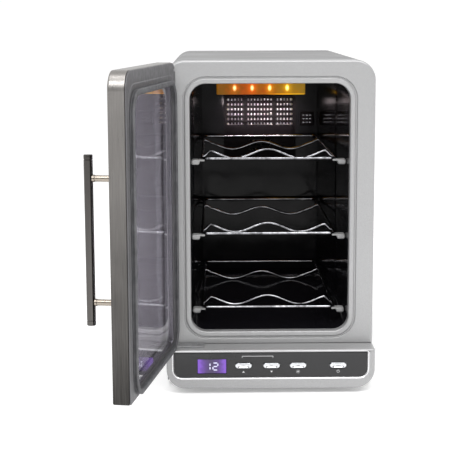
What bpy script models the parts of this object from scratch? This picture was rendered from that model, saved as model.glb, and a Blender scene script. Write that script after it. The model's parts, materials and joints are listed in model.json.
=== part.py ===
"""Counter-top thermoelectric wine cooler, stored with its door standing open.

World frame: X to the right, Y from the door side to the rear, Z up. The origin is on the underside of
the base pan, in the middle of the cabinet. Depths named *_d count rearward from the front frame's face.
"""
import math

import bmesh
import bpy
from mathutils import Matrix, Vector

MM = 0.001
GAP = 0.3 * MM              # assembly gap between touching pieces
RUN = 0.1 * MM              # radial running clearance of the hinge pins

# cabinet
WIDTH = 268.0 * MM
HEIGHT = 418.5 * MM
DEPTH = 461.0 * MM
CABINET_R = 26.0 * MM       # radius of the two top corners
SHEET = 1.2 * MM            # wrap and rear cover steel
FRAME_T = 12.0 * MM         # depth of the front frame
FRONT_Y = -DEPTH / 2.0
HALF_W = WIDTH / 2.0

# control panel
PANEL_H = 51.7 * MM
PANEL_OUT = 32.4 * MM       # how far the panel stands in front of the frame
PANEL_R = 25.0 * MM
PANEL_WALL = 2.2 * MM
FASCIA_HALF = 124.0 * MM
FASCIA_LOW = 15.3 * MM
FASCIA_HIGH = 48.0 * MM
FASCIA_R = 10.0 * MM
FASCIA_T = 3.0 * MM
FASCIA_PROUD = 0.6 * MM
BUTTON_W = 21.5 * MM
BUTTON_H = 7.0 * MM
BUTTON_Z = 31.0 * MM
BUTTON_X = (-35.0 * MM, 1.0 * MM, 35.0 * MM, 86.5 * MM)
BUTTON_NAMES = ("button_up", "button_down", "button_light", "button_power")
BUTTON_STROKE = 1.2 * MM
BUTTON_PROUD = 1.3 * MM
DISPLAY_X = -75.5 * MM
DISPLAY_Z = 30.0 * MM
DISPLAY_W = 37.0 * MM
DISPLAY_H = 18.6 * MM

# chamber
MOUTH_HALF = 102.0 * MM
MOUTH_LOW = PANEL_H + 16.3 * MM
MOUTH_HIGH = 389.0 * MM
MOUTH_R = 20.0 * MM
LINER_T = 1.5 * MM
LINER_DRAFT = 2.5 * MM      # how much each liner wall closes in at the rear
CHAMBER_D = 372.0 * MM      # depth of the chamber's back wall
REAR_FILLET = 9.0 * MM
FOAM_REAR_D = CHAMBER_D + 32.0 * MM
SEAL_HALF = HALF_W - 17.0 * MM      # half width of the gasket's centre line
SEAL_LOW = PANEL_H + 7.8 * MM
SEAL_HIGH = 393.0 * MM
SEAL_W = 6.0 * MM
SEAL_R = 26.0 * MM

# shelves
SHELF_Z = (MOUTH_LOW + 24.4 * MM, 191.6 * MM, 290.8 * MM)
SHELF_NAMES = ("shelf_lower", "shelf_middle", "shelf_upper")
SHELF_HALF = MOUTH_HALF - 15.0 * MM      # half width between the side rods' centres
SHELF_FRONT_D = 40.0 * MM
SHELF_REAR_D = CHAMBER_D - 10.0 * MM
WIRE_R = 1.9 * MM
WAVE_R = 1.6 * MM
FRONT_WAVE_D = 70.0 * MM
REAR_WAVE_D = SHELF_REAR_D - 66.0 * MM
PEG_OVERLAP = 3.2 * MM      # how far a peg reaches under the side rod's centre
PEG_H = 7.0 * MM
PEG_L = 13.0 * MM

# cooling unit
COOLER_Z = 326.0 * MM       # height of the Peltier module's centre
GRILLE_HALF = MOUTH_HALF - 46.0 * MM
GRILLE_LOW = 256.0 * MM
GRILLE_HIGH = 355.0 * MM
GRILLE_T = 2.4 * MM
INNER_FAN = 40.0 * MM
INNER_FAN_Z = 281.0 * MM
REAR_FAN = 80.0 * MM

# light bar
LIGHT_HALF = MOUTH_HALF - 35.0 * MM
LIGHT_LOW = 356.0 * MM
LIGHT_FRONT_D = CHAMBER_D - 50.0 * MM
LIGHT_REAR_D = CHAMBER_D - 20.0 * MM
LED_PITCH = 26.5 * MM
LED_Z = 371.0 * MM

# door
OPEN_ANGLE = math.radians(99.5)
DOOR_W = WIDTH
DOOR_LOW = PANEL_H + 2.7 * MM
DOOR_HIGH = HEIGHT - 1.0 * MM
DOOR_T = 21.1 * MM
DOOR_R = 22.0 * MM
DOOR_GAP = 5.0 * MM         # closed door to the front frame, filled by the gasket
HINGE_INSET = 2.93 * MM     # hinge axis to the door's hinge-side edge
HINGE_IN = 12.15 * MM       # hinge axis to the door's inner face
COVER_T = 1.8 * MM          # inner door frame's plate
PIN_R = 1.4 * MM
PIN_L = 8.0 * MM
BUSH_R = 2.3 * MM
ARM_T = 1.8 * MM
WINDOW_HALF = HALF_W - 21.5 * MM
WINDOW_LOW = PANEL_H + 12.8 * MM
WINDOW_HIGH = 388.5 * MM
GLASS_T = 3.0 * MM
HANDLE_U = WIDTH - 25.3 * MM       # hinge axis to the handle, along the door
HANDLE_V = 36.55 * MM       # hinge axis to the bar's centre, across the door
HANDLE_LOW = 138.0 * MM
HANDLE_HIGH = 327.0 * MM
HANDLE_R = 5.0 * MM
POST_R = 4.3 * MM
POST_INSET = 26.0 * MM

# feet and rear
FOOT_R = 11.0 * MM
FOOT_H = 7.0 * MM
FOOT_INSET = 30.0 * MM      # foot's centre to the cabinet's side
PAD_H = 1.0 * MM            # depth of the panel pressed into the base pan

INNER_FACE_Y = FRONT_Y - DOOR_GAP
HINGE_X = -HALF_W + HINGE_INSET
HINGE_Y = INNER_FACE_Y - HINGE_IN


# ---------------------------------------------------------------- outlines

def rounded(x0, x1, z0, z1, radii, steps=5):
    """Closed outline of a rectangle; radii are (low left, low right, high right, high left)."""
    if not isinstance(radii, tuple):
        radii = (radii,) * 4
    corners = ((x0, z0, 1, 1, math.pi), (x1, z0, -1, 1, 1.5 * math.pi),
               (x1, z1, -1, -1, 0.0), (x0, z1, 1, -1, 0.5 * math.pi))
    points = []
    for (cx, cz, sx, sz, start), r in zip(corners, radii):
        for i in range(steps + 1):
            a = start + 0.5 * math.pi * i / steps
            points.append((cx + sx * r + r * math.cos(a), cz + sz * r + r * math.sin(a)))
    return points


def square(x0, x1, z0, z1):
    return [(x0, z0), (x1, z0), (x1, z1), (x0, z1)]


def circle(cx, cz, r, count=24, start=math.pi):
    return [(cx + r * math.cos(start + 2.0 * math.pi * i / count),
             cz + r * math.sin(start + 2.0 * math.pi * i / count)) for i in range(count)]


def along_y(points, y):
    return [Vector((px, y, pz)) for px, pz in points]


def along_z(points, z):
    return [Vector((px, py, z)) for px, py in points]


def depth(d):
    return FRONT_Y + d


# ---------------------------------------------------------------- solids

def finish(name, bm):
    bmesh.ops.remove_doubles(bm, verts=bm.verts, dist=1e-6)
    bmesh.ops.recalc_face_normals(bm, faces=bm.faces)
    mesh = bpy.data.meshes.new(name)
    bm.to_mesh(mesh)
    bm.free()
    obj = bpy.data.objects.new(name, mesh)
    bpy.context.scene.collection.objects.link(obj)
    return obj


def skin(name, loops, ring=False):
    """Solid skinned over loops of equal length; a ring joins the last loop to the first."""
    bm = bmesh.new()
    rows = [[bm.verts.new(p) for p in loop] for loop in loops]
    pairs = list(zip(rows, rows[1:]))
    if ring:
        pairs.append((rows[-1], rows[0]))
    for a, b in pairs:
        for i in range(len(a)):
            j = (i + 1) % len(a)
            bm.faces.new((a[i], a[j], b[j], b[i]))
    if not ring:
        bm.faces.new(rows[0])
        bm.faces.new(rows[-1])
    return finish(name, bm)


def prism(name, outline, place, low, high, holes=()):
    """Flat outline with holes, swept from low to high; place is along_y or along_z."""
    bm = bmesh.new()
    caps = []
    for level in (low, high):
        edges = []
        rows = []
        for loop in (outline,) + tuple(holes):
            verts = [bm.verts.new(p) for p in place(loop, level)]
            rows.append(verts)
            edges += [bm.edges.new((verts[i], verts[(i + 1) % len(verts)])) for i in range(len(verts))]
        caps.append(rows)
        bmesh.ops.triangle_fill(bm, edges=edges, use_beauty=True, use_dissolve=False)
    for a, b in zip(caps[0], caps[1]):
        for i in range(len(a)):
            j = (i + 1) % len(a)
            bm.faces.new((a[i], a[j], b[j], b[i]))
    return finish(name, bm)


def box(name, x0, x1, y0, y1, z0, z1):
    return prism(name, square(x0, x1, z0, z1), along_y, y0, y1)


def drum_y(name, cx, cz, r, y0, y1, count=24):
    return prism(name, circle(cx, cz, r, count), along_y, y0, y1)


def drum_z(name, cx, cy, r, z0, z1, count=20):
    return prism(name, circle(cx, cy, r, count), along_z, z0, z1)


def tube(name, path, r, sides=8, closed=False):
    """Round wire along a path."""
    bm = bmesh.new()
    count = len(path)
    rows = []
    normal = None
    for i, p in enumerate(path):
        before = path[i - 1] if closed or i > 0 else p
        after = path[(i + 1) % count] if closed or i < count - 1 else p
        t = (after - before).normalized()
        if normal is None:
            normal = t.orthogonal().normalized()
        normal = (normal - t * normal.dot(t)).normalized()
        side = t.cross(normal)
        rows.append([bm.verts.new(p + r * (math.cos(a) * normal + math.sin(a) * side))
                     for a in (2.0 * math.pi * k / sides for k in range(sides))])
    pairs = list(zip(rows, rows[1:]))
    if closed:
        pairs.append((rows[-1], rows[0]))
    for a, b in pairs:
        for k in range(sides):
            m = (k + 1) % sides
            bm.faces.new((a[k], a[m], b[m], b[k]))
    if not closed:
        bm.faces.new(rows[0])
        bm.faces.new(rows[-1])
    return finish(name, bm)


def combine(obj, others, operation):
    """Joins or cuts obj with each of the others, which are used up."""
    for other in others:
        step = obj.modifiers.new("step", "BOOLEAN")
        step.operation = operation
        step.solver = "EXACT"
        step.object = other
        graph = bpy.context.evaluated_depsgraph_get()
        mesh = bpy.data.meshes.new_from_object(obj.evaluated_get(graph))
        obj.modifiers.clear()
        obj.data = mesh
        bpy.data.objects.remove(other, do_unlink=True)
    return obj


def cut(obj, *others):
    return combine(obj, others, "DIFFERENCE")


def join(obj, *others):
    return combine(obj, others, "UNION")


def move_origin(obj, point):
    """Puts the object's origin at a world point without moving its shape."""
    obj.data.transform(Matrix.Translation(-Vector(point)))
    obj.location = point
    return obj


def smooth(obj, angle=40.0):
    obj.data.set_sharp_from_angle(angle=math.radians(angle))
    obj.data.shade_smooth() if hasattr(obj.data, "shade_smooth") else None
    for poly in obj.data.polygons:
        poly.use_smooth = True
    return obj


# ---------------------------------------------------------------- materials

def material(name, colour, roughness, metallic=0.0, alpha=1.0):
    mat = bpy.data.materials.new(name)
    mat.use_nodes = True
    shader = mat.node_tree.nodes["Principled BSDF"]
    shader.inputs["Base Color"].default_value = (*colour, 1.0)
    shader.inputs["Roughness"].default_value = roughness
    shader.inputs["Metallic"].default_value = metallic
    shader.inputs["Alpha"].default_value = alpha
    mat.diffuse_color = (*colour, alpha)
    return mat


def palette():
    return {
        "silver": material("silver_paint", (0.46, 0.46, 0.47), 0.38, 0.35),
        "steel_sheet": material("silver_sheet", (0.38, 0.38, 0.39), 0.42, 0.6),
        "black_gloss": material("black_gloss", (0.012, 0.012, 0.014), 0.12),
        "black_matte": material("black_matte", (0.02, 0.02, 0.022), 0.6),
        "door_grey": material("door_grey", (0.15, 0.15, 0.155), 0.45),
        "foam": material("foam", (0.82, 0.76, 0.58), 0.9),
        "fascia": material("fascia_black", (0.05, 0.05, 0.055), 0.2),
        "display": material("display_violet", (0.16, 0.04, 0.5), 0.25),
        "board": material("circuit_green", (0.03, 0.16, 0.07), 0.5),
        "amber": material("amber_cover", (0.85, 0.36, 0.05), 0.25, 0.0, 0.6),
        "led": material("led_orange", (1.0, 0.3, 0.05), 0.2),
        "aluminium": material("aluminium", (0.72, 0.73, 0.74), 0.35, 1.0),
        "ceramic": material("ceramic_white", (0.85, 0.85, 0.83), 0.5),
        "chrome": material("chrome_wire", (0.75, 0.76, 0.78), 0.12, 1.0),
        "peg": material("peg_white", (0.7, 0.7, 0.68), 0.35),
        "rubber": material("gasket_rubber", (0.025, 0.022, 0.028), 0.55),
        "glass": material("smoked_glass", (0.2, 0.2, 0.21), 0.05, 0.0, 0.4),
        "door_steel": material("door_steel", (0.3, 0.295, 0.285), 0.3, 1.0),
        "dark_steel": material("handle_steel", (0.2, 0.2, 0.2), 0.22, 1.0),
        "hinge_steel": material("hinge_steel", (0.55, 0.55, 0.56), 0.3, 1.0),
        "bush": material("bush_white", (0.75, 0.74, 0.7), 0.45),
    }


def dress(obj, mat):
    obj.data.materials.clear()
    obj.data.materials.append(mat)
    return smooth(obj)


# ---------------------------------------------------------------- cabinet

def cabinet_outline(inset, low):
    r = CABINET_R - inset
    half = HALF_W - inset
    return rounded(-half, half, low, HEIGHT - inset, (0.5 * MM, 0.5 * MM, r, r))


def outer_wrap():
    outside = cabinet_outline(0.0, 0.0)
    inside = cabinet_outline(SHEET, 0.0)
    steps = len(outside) // 4
    turn = steps
    outer = outside[turn:]
    inner = inside[turn:] + inside[:0]
    right_foot = [(HALF_W, 0.0)]
    left_foot = [(-HALF_W, 0.0)]
    path = right_foot + outer[steps:] + left_foot
    back = [(HALF_W - SHEET, 0.0)] + inner[steps:] + [(-HALF_W + SHEET, 0.0)]
    outline = path + back[::-1]
    return prism("outer_wrap", outline, along_y, depth(FRAME_T + GAP), depth(DEPTH - 2.0 * MM))


def base_pan():
    half = HALF_W - SHEET - GAP
    flange = 12.0 * MM
    low, high = PAD_H, PAD_H + SHEET
    outline = [(-half, low), (half, low), (half, flange), (half - SHEET, flange),
               (half - SHEET, high), (-half + SHEET, high), (-half + SHEET, flange), (-half, flange)]
    pan = prism("base_pan", outline, along_y, depth(FRAME_T + GAP), depth(DEPTH - 5.0 * MM))
    edge = FOOT_INSET + FOOT_R + 6.0 * MM
    pad = prism("pad", rounded(-HALF_W + edge, HALF_W - edge, depth(edge), depth(DEPTH - edge), 8.0 * MM, 3),
                along_z, 0.0, PAD_H + 0.5 * SHEET)
    return join(pan, pad)


def front_frame():
    seam = PANEL_H + GAP
    outer = (0.5 * MM, 0.5 * MM, CABINET_R, CABINET_R)

    def edge(inset, d):
        radii = tuple(max(r - inset, 0.4 * MM) for r in outer)
        return along_y(rounded(-HALF_W + inset, HALF_W - inset, seam + inset * 0.2,
                               HEIGHT - inset, radii), depth(d))

    def mouth(grow, d, r_grow=None):
        r = MOUTH_R + (grow if r_grow is None else r_grow)
        return along_y(rounded(-MOUTH_HALF - grow, MOUTH_HALF + grow, MOUTH_LOW - grow,
                               MOUTH_HIGH + grow, r), depth(d))

    loops = [edge(0.0, FRAME_T), edge(0.0, 2.0 * MM), edge(2.0 * MM, 0.0),
             mouth(9.0 * MM, 0.0), mouth(8.6 * MM, 1.8 * MM), mouth(6.8 * MM, 1.8 * MM),
             mouth(6.2 * MM, 0.3 * MM), mouth(5.0 * MM, 0.0), mouth(2.0 * MM, 0.0),
             mouth(0.6 * MM, 0.5 * MM), mouth(0.0, 1.7 * MM), mouth(0.0, FRAME_T)]
    return skin("front_frame", loops, ring=True)


def chamber_loop(grow, d, inset=0.0):
    """Liner outline at a depth; grow is the wall added outside, inset closes the rear fillet."""
    share = d / CHAMBER_D
    half = MOUTH_HALF - LINER_DRAFT * share + grow - inset
    low = MOUTH_LOW + LINER_DRAFT * share - grow + inset
    high = MOUTH_HIGH - LINER_DRAFT * share + grow - inset
    return along_y(rounded(-half, half, low, high, max(MOUTH_R + grow - inset, 6.0 * MM)), depth(d))


def liner_ledges():
    """Two short ribs per shelf that carry the rear ends of the side rods."""
    ribs = []
    for z in SHELF_Z:
        for side in (-1, 1):
            inner = side * (SHELF_HALF - PEG_OVERLAP)
            outer = side * (MOUTH_HALF + LINER_T * 0.5 - LINER_DRAFT)
            top = z - WIRE_R - GAP
            ribs.append(box("rib", min(inner, outer), max(inner, outer), depth(SHELF_REAR_D - 26.0 * MM),
                            depth(SHELF_REAR_D - 12.0 * MM), top - 6.0 * MM, top))
    return ribs


def fillet_cant():
    """How far the middle of the rear fillet stands in from both faces."""
    return REAR_FILLET * (1.0 - math.sqrt(0.5))


def chamber_port(grow):
    """Opening in the chamber's back wall for the cold sink and the inner fan."""
    half = GRILLE_HALF - 4.0 * MM + grow
    return (-half, half, GRILLE_LOW + 4.0 * MM - grow, GRILLE_HIGH - 4.0 * MM + grow)


def liner():
    flange_d = FRAME_T + GAP
    front = flange_d + LINER_T
    grow = LINER_T
    f = REAR_FILLET
    cant = fillet_cant()
    loops = [chamber_loop(grow, CHAMBER_D + grow, f), chamber_loop(grow, CHAMBER_D + grow - cant, cant),
             chamber_loop(grow, CHAMBER_D + grow - f), chamber_loop(grow, front),
             chamber_loop(14.0 * MM, front), chamber_loop(14.0 * MM, flange_d), chamber_loop(0.0, flange_d),
             chamber_loop(0.0, CHAMBER_D - f), chamber_loop(0.0, CHAMBER_D - cant, cant),
             chamber_loop(0.0, CHAMBER_D, f)]
    shell = skin("liner", loops)
    join(shell, *liner_ledges())
    x0, x1, z0, z1 = chamber_port(0.0)
    return cut(shell, box("port", x0, x1, depth(CHAMBER_D - 4.0 * MM), depth(CHAMBER_D + 6.0 * MM), z0, z1))


def insulation():
    skin_gap = SHEET + GAP
    half = HALF_W - skin_gap - SHEET - GAP
    low = PAD_H + SHEET + GAP
    high = HEIGHT - skin_gap
    r = CABINET_R - skin_gap
    start = FRAME_T + 2.0 * GAP + LINER_T

    def outer(d):
        return along_y(rounded(-half, half, low, high, (1.0 * MM, 1.0 * MM, r, r)), depth(d))

    grow = LINER_T + GAP
    f = 2.0 * fillet_cant() - GAP
    loops = [outer(FOAM_REAR_D), outer(start), chamber_loop(grow, start),
             chamber_loop(grow, CHAMBER_D + grow - f), chamber_loop(grow, CHAMBER_D + grow, f)]
    foam = skin("insulation", loops)
    x0, x1, z0, z1 = chamber_port(0.0)
    pocket = box("pocket", x0, x1, depth(CHAMBER_D - 2.0 * MM), depth(FOAM_REAR_D - 4.0 * MM), z0, z1)
    s = 20.0 * MM + GAP
    hole = box("hole", -s, s, depth(CHAMBER_D), depth(FOAM_REAR_D + 2.0 * MM), COOLER_Z - s, COOLER_Z + s)
    return cut(foam, pocket, hole)


def rear_cover():
    half = HALF_W - SHEET - GAP
    r = CABINET_R - SHEET - GAP
    outline = rounded(-half, half, GAP, HEIGHT - SHEET - GAP, (1.0 * MM, 1.0 * MM, r, r))
    holes = [circle(0.0, COOLER_Z, REAR_FAN * 0.47, 24)]
    ix0, ix1, iz0, iz1 = inlet_extent()
    holes.append(rounded(ix0 - GAP, ix1 + GAP, iz0 - GAP, iz1 + GAP, 1.0 * MM, 1))
    slot = 22.0 * MM
    for row in range(5):
        z = 150.0 * MM + row * 14.0 * MM
        for col in (-1, 0, 1):
            x = col * 56.0 * MM
            holes.append(square(x - slot, x + slot, z, z + 5.0 * MM))
    back = depth(DEPTH - 3.0 * MM)
    return prism("rear_cover", outline, along_y, back - SHEET, back, holes)


def foot(name, x, y):
    wide = circle(x, y, FOOT_R, 20)
    base = circle(x, y, FOOT_R - 1.0 * MM, 20)
    loops = [along_z(wide, PAD_H - GAP), along_z(wide, -FOOT_H + 1.0 * MM), along_z(base, -FOOT_H)]
    return skin(name, loops)


def chamber_wall(z, d):
    """Half width of the chamber at a height and depth, allowing for the rounded lower corner."""
    share = d / CHAMBER_D
    below = max(0.0, MOUTH_LOW + LINER_DRAFT * share + MOUTH_R - z)
    return MOUTH_HALF - LINER_DRAFT * share - (MOUTH_R - math.sqrt(MOUTH_R ** 2 - below ** 2))


def peg(name, side, z):
    inner = side * (SHELF_HALF - PEG_OVERLAP)
    top = z - WIRE_R - GAP
    d0 = SHELF_FRONT_D - 1.0 * MM
    d1 = d0 + PEG_L
    wall = chamber_wall(top - PEG_H, d1) - GAP
    y0, y1 = depth(d0), depth(d1)
    x0, x1 = sorted((inner, side * wall))
    return prism(name, rounded(x0, x1, top - PEG_H, top, 1.2 * MM, 2), along_y, y0, y1)


# ---------------------------------------------------------------- control panel

def panel_loop(inset, d, low_extra=0.0):
    half = HALF_W - inset
    r = max(PANEL_R - inset, 1.0 * MM)
    return along_y(rounded(-half, half, inset + low_extra, PANEL_H - inset, (r, r, 1.2 * MM, 1.2 * MM)),
                   depth(d))


def fascia_loop(shrink, d):
    r = FASCIA_R - shrink
    return along_y(rounded(-FASCIA_HALF + shrink, FASCIA_HALF - shrink, FASCIA_LOW + shrink,
                           FASCIA_HIGH - shrink, (r, r, 1.5 * MM, 1.5 * MM)), depth(d))


def control_housing():
    face = -PANEL_OUT
    floor = face + FASCIA_T - FASCIA_PROUD + GAP
    loops = [panel_loop(0.0, FRAME_T), panel_loop(0.0, face + 2.4 * MM), panel_loop(0.8 * MM, face + 0.8 * MM),
             panel_loop(2.4 * MM, face), fascia_loop(0.0, face), fascia_loop(0.0, floor),
             fascia_loop(3.5 * MM, floor), fascia_loop(3.5 * MM, floor + 2.0 * MM),
             panel_loop(PANEL_WALL, floor + 2.0 * MM), panel_loop(PANEL_WALL, FRAME_T)]
    return skin("control_housing", loops, ring=True)


def oval(cx, cz, w, h, steps=4):
    return rounded(cx - w / 2.0, cx + w / 2.0, cz - h / 2.0, cz + h / 2.0, h / 2.0 - 0.05 * MM, steps)


def fascia_face():
    return -PANEL_OUT - FASCIA_PROUD


def control_fascia():
    s = GAP
    outline = rounded(-FASCIA_HALF + s, FASCIA_HALF - s, FASCIA_LOW + s, FASCIA_HIGH - s,
                      (FASCIA_R - s, FASCIA_R - s, 1.2 * MM, 1.2 * MM))
    holes = [oval(x, BUTTON_Z, BUTTON_W + 2.0 * GAP, BUTTON_H + 2.0 * GAP) for x in BUTTON_X]
    holes.append(rounded(DISPLAY_X - DISPLAY_W / 2.0, DISPLAY_X + DISPLAY_W / 2.0,
                         DISPLAY_Z - DISPLAY_H / 2.0, DISPLAY_Z + DISPLAY_H / 2.0, 1.0 * MM, 2))
    face = depth(fascia_face())
    return prism("control_fascia", outline, along_y, face, face + FASCIA_T, holes)


def display_window():
    s = GAP
    outline = rounded(DISPLAY_X - DISPLAY_W / 2.0 + s, DISPLAY_X + DISPLAY_W / 2.0 - s,
                      DISPLAY_Z - DISPLAY_H / 2.0 + s, DISPLAY_Z + DISPLAY_H / 2.0 - s, 0.8 * MM, 2)
    face = depth(fascia_face() + 0.2 * MM)
    return prism("display_window", outline, along_y, face, face + 2.4 * MM)


def button(name, x):
    face = fascia_face() - BUTTON_PROUD
    back = fascia_face() + FASCIA_T + GAP
    dome = 0.7 * MM
    cap = oval(x, BUTTON_Z, BUTTON_W, BUTTON_H)
    top = oval(x, BUTTON_Z, BUTTON_W - 2.0 * dome, BUTTON_H - 2.0 * dome)
    flange = oval(x, BUTTON_Z, BUTTON_W + 3.0 * MM, BUTTON_H + 3.0 * MM)
    loops = [along_y(top, depth(face)), along_y(cap, depth(face + dome)), along_y(cap, depth(back)),
             along_y(flange, depth(back)), along_y(flange, depth(back + 1.6 * MM))]
    return move_origin(skin(name, loops), (x, depth(face), BUTTON_Z))


def control_board():
    y = depth(fascia_face() + FASCIA_T + 5.0 * MM)
    plate = box("control_board", -104.0 * MM, 112.0 * MM, y, y + 1.6 * MM, 12.0 * MM, 46.0 * MM)
    chips = [box("chip", x - w, x + w, y + 1.0 * MM, y + h, z - 5.0 * MM, z + 5.0 * MM)
             for x, w, h, z in ((DISPLAY_X, 14.0 * MM, 7.0 * MM, 28.0 * MM),
                                (20.0 * MM, 9.0 * MM, 4.5 * MM, 22.0 * MM),
                                (70.0 * MM, 6.0 * MM, 9.0 * MM, 34.0 * MM))]
    return join(plate, *chips)


# ---------------------------------------------------------------- light

def light_cover():
    wall = 1.5 * MM
    ceiling = MOUTH_HIGH - LINER_DRAFT - GAP
    y0, y1 = depth(LIGHT_FRONT_D), depth(LIGHT_REAR_D)
    shell = box("light_cover", -LIGHT_HALF, LIGHT_HALF, y0, y1, LIGHT_LOW, ceiling)
    hollow = box("hollow", -LIGHT_HALF + wall, LIGHT_HALF - wall, y0 + wall, y1 - wall,
                 LIGHT_LOW + wall, ceiling + 5.0 * MM)
    return cut(shell, hollow)


def light_board():
    y = depth(LIGHT_REAR_D - 5.0 * MM)
    return box("light_board", -LIGHT_HALF + 3.0 * MM, LIGHT_HALF - 3.0 * MM, y, y + 1.6 * MM,
               LIGHT_LOW + 3.0 * MM, MOUTH_HIGH - LINER_DRAFT - 3.0 * MM)


def led(name, x):
    base = depth(LIGHT_REAR_D - 5.0 * MM) - GAP
    r = 2.5 * MM
    rings = [(r + 0.4 * MM, 0.0), (r + 0.4 * MM, 1.0 * MM), (r, 1.0 * MM), (r, 5.5 * MM),
             (r * 0.75, 7.2 * MM), (r * 0.3, 7.9 * MM)]
    return skin(name, [along_y(circle(x, LED_Z, rad, 12), base - out) for rad, out in rings])


# ---------------------------------------------------------------- cooling unit

def air_grille():
    y1 = depth(CHAMBER_D) - GAP
    outline = rounded(-GRILLE_HALF, GRILLE_HALF, GRILLE_LOW, GRILLE_HIGH, 2.0 * MM, 2)
    reach = GRILLE_HALF - 5.0 * MM
    rib = 4.0 * MM
    middle = 0.402 * reach
    columns = ((-reach, -middle - rib), (-middle, middle), (middle + rib, reach))
    holes = []
    for row in range(6):
        z = COOLER_Z - 19.7 * MM + row * 7.5 * MM
        for x0, x1 in columns:
            holes.append(square(x0, x1, z, z + 3.2 * MM))
    for row in range(4):
        z = INNER_FAN_Z - 14.0 * MM + row * 7.0 * MM
        holes.append(square(-reach / 3.0, reach / 3.0, z, z + 3.0 * MM))
    return prism("air_grille", outline, along_y, y1 - GRILLE_T, y1, holes)


def comb(name, half, base, tip, thick, count, fin, z0, z1):
    """Heat sink: fins standing on a base, base and tip given as depths, extruded upright."""
    toward = 1.0 if tip > base else -1.0
    root = base + toward * thick
    pitch = (2.0 * half - fin) / (count - 1)
    points = [(-half, depth(base)), (half, depth(base))]
    for i in range(count):
        x1 = half - i * pitch
        x0 = x1 - fin
        points += [(x1, depth(root)), (x1, depth(tip)), (x0, depth(tip)), (x0, depth(root))]
    clean = points[:2] + [p for p in points[2:] if p not in points[:2]]
    return prism(name, clean, along_z, z0, z1)


def cold_sink():
    return comb("cold_sink", GRILLE_HALF - 7.0 * MM, FOAM_REAR_D - 4.0 * MM - GAP, CHAMBER_D + 3.0 * MM, 4.0 * MM, 20,
                1.3 * MM, COOLER_Z - 21.0 * MM, COOLER_Z + 21.0 * MM)


def peltier_module():
    s = 20.0 * MM
    return box("peltier_module", -s, s, depth(FOAM_REAR_D - 4.0 * MM), depth(FOAM_REAR_D),
               COOLER_Z - s, COOLER_Z + s)


def hot_sink():
    return comb("hot_sink", 56.0 * MM, FOAM_REAR_D + GAP, FOAM_REAR_D + 22.0 * MM, 5.0 * MM, 13,
                1.8 * MM, COOLER_Z - 52.0 * MM, COOLER_Z + 52.0 * MM)


def fan_frame(name, size, z, d0, d1):
    """Square fan casing with a motor seat held by three arms at its rear face."""
    half = size / 2.0
    bore = half * 0.93
    count = 24
    outer = rounded(-half, half, z - half, z + half, 3.0 * MM)
    inner = circle(0.0, z, bore, count, start=math.pi)
    casing = skin(name, [along_y(outer, depth(d0)), along_y(outer, depth(d1)),
                         along_y(inner, depth(d1)), along_y(inner, depth(d0))], ring=True)
    seat_t = 1.6 * MM
    seat = drum_y("seat", 0.0, z, half * 0.38, depth(d1) - seat_t, depth(d1) - 0.1 * MM, 16)
    arms = []
    for k in range(3):
        a = math.radians(30.0 + 120.0 * k)
        w = half * 0.06
        ux, uz = math.cos(a), math.sin(a)
        reach = bore + 0.6 * MM
        corners = [(-uz * w, z + ux * w), (uz * w, z - ux * w),
                   (ux * reach + uz * w, z + uz * reach - ux * w),
                   (ux * reach - uz * w, z + uz * reach + ux * w)]
        arms.append(prism("arm", corners, along_y, depth(d1) - 0.8 * seat_t, depth(d1) - 0.3 * MM))
    return join(casing, seat, *arms)


def fan_rotor(name, size, z, d0, d1):
    """Hub with seven pitched blades, turning about the fan's axis."""
    half = size / 2.0
    tip = half * 0.86
    hub = half * 0.36
    low, high = depth(d0 + 1.0 * MM), depth(d1 - 2.6 * MM)
    rotor = drum_y(name, 0.0, z, hub, low, high, 16)
    blades = []
    for k in range(7):
        a = 2.0 * math.pi * k / 7.0
        t = 0.6 * MM
        span = (high - low) * 0.36
        blade = box("blade", hub * 0.8, tip, -t, t, -span, span)
        spin = Matrix.Rotation(-a, 4, "Y") @ Matrix.Rotation(math.radians(52.0), 4, "X")
        blade.data.transform(Matrix.Translation((0.0, (low + high) / 2.0, z)) @ spin)
        blades.append(blade)
    join(rotor, *blades)
    return move_origin(rotor, (0.0, (low + high) / 2.0, z))


def fan_guard():
    y = depth(DEPTH - 3.0 * MM) + GAP + 1.1 * MM
    wire = 1.1 * MM
    ring_r = REAR_FAN * 0.5
    parts = []
    for share in (1.0, 0.52):
        ring = [Vector((ring_r * share * math.cos(a), y, COOLER_Z + ring_r * share * math.sin(a)))
                for a in (2.0 * math.pi * i / 20 for i in range(20))]
        parts.append(tube("fan_guard", ring, wire, 5, closed=True))
    for a in (0.3, 0.3 + math.pi / 2.0):
        reach = ring_r + 0.6 * MM
        ends = [Vector((-reach * math.cos(a), y, COOLER_Z - reach * math.sin(a))),
                Vector((reach * math.cos(a), y, COOLER_Z + reach * math.sin(a)))]
        parts.append(tube("spoke", ends, wire * 0.9, 5))
    return join(parts[0], *parts[1:])


def sensor_cover():
    y1 = depth(CHAMBER_D) - GAP
    x0, x1 = GRILLE_HALF + 6.0 * MM, GRILLE_HALF + 28.0 * MM
    z0, z1 = COOLER_Z - 21.0 * MM, COOLER_Z
    body = prism("sensor_cover", rounded(x0, x1, z0, z1, 2.0 * MM, 2), along_y, y1 - 6.0 * MM, y1)
    slits = [box("slit", x0 + 3.0 * MM, x1 - 3.0 * MM, y1 - 7.0 * MM, y1 - 1.5 * MM, z, z + 2.0 * MM)
             for z in (z0 + 4.0 * MM, z0 + 9.5 * MM, z0 + 15.0 * MM)]
    return cut(body, *slits)


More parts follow.
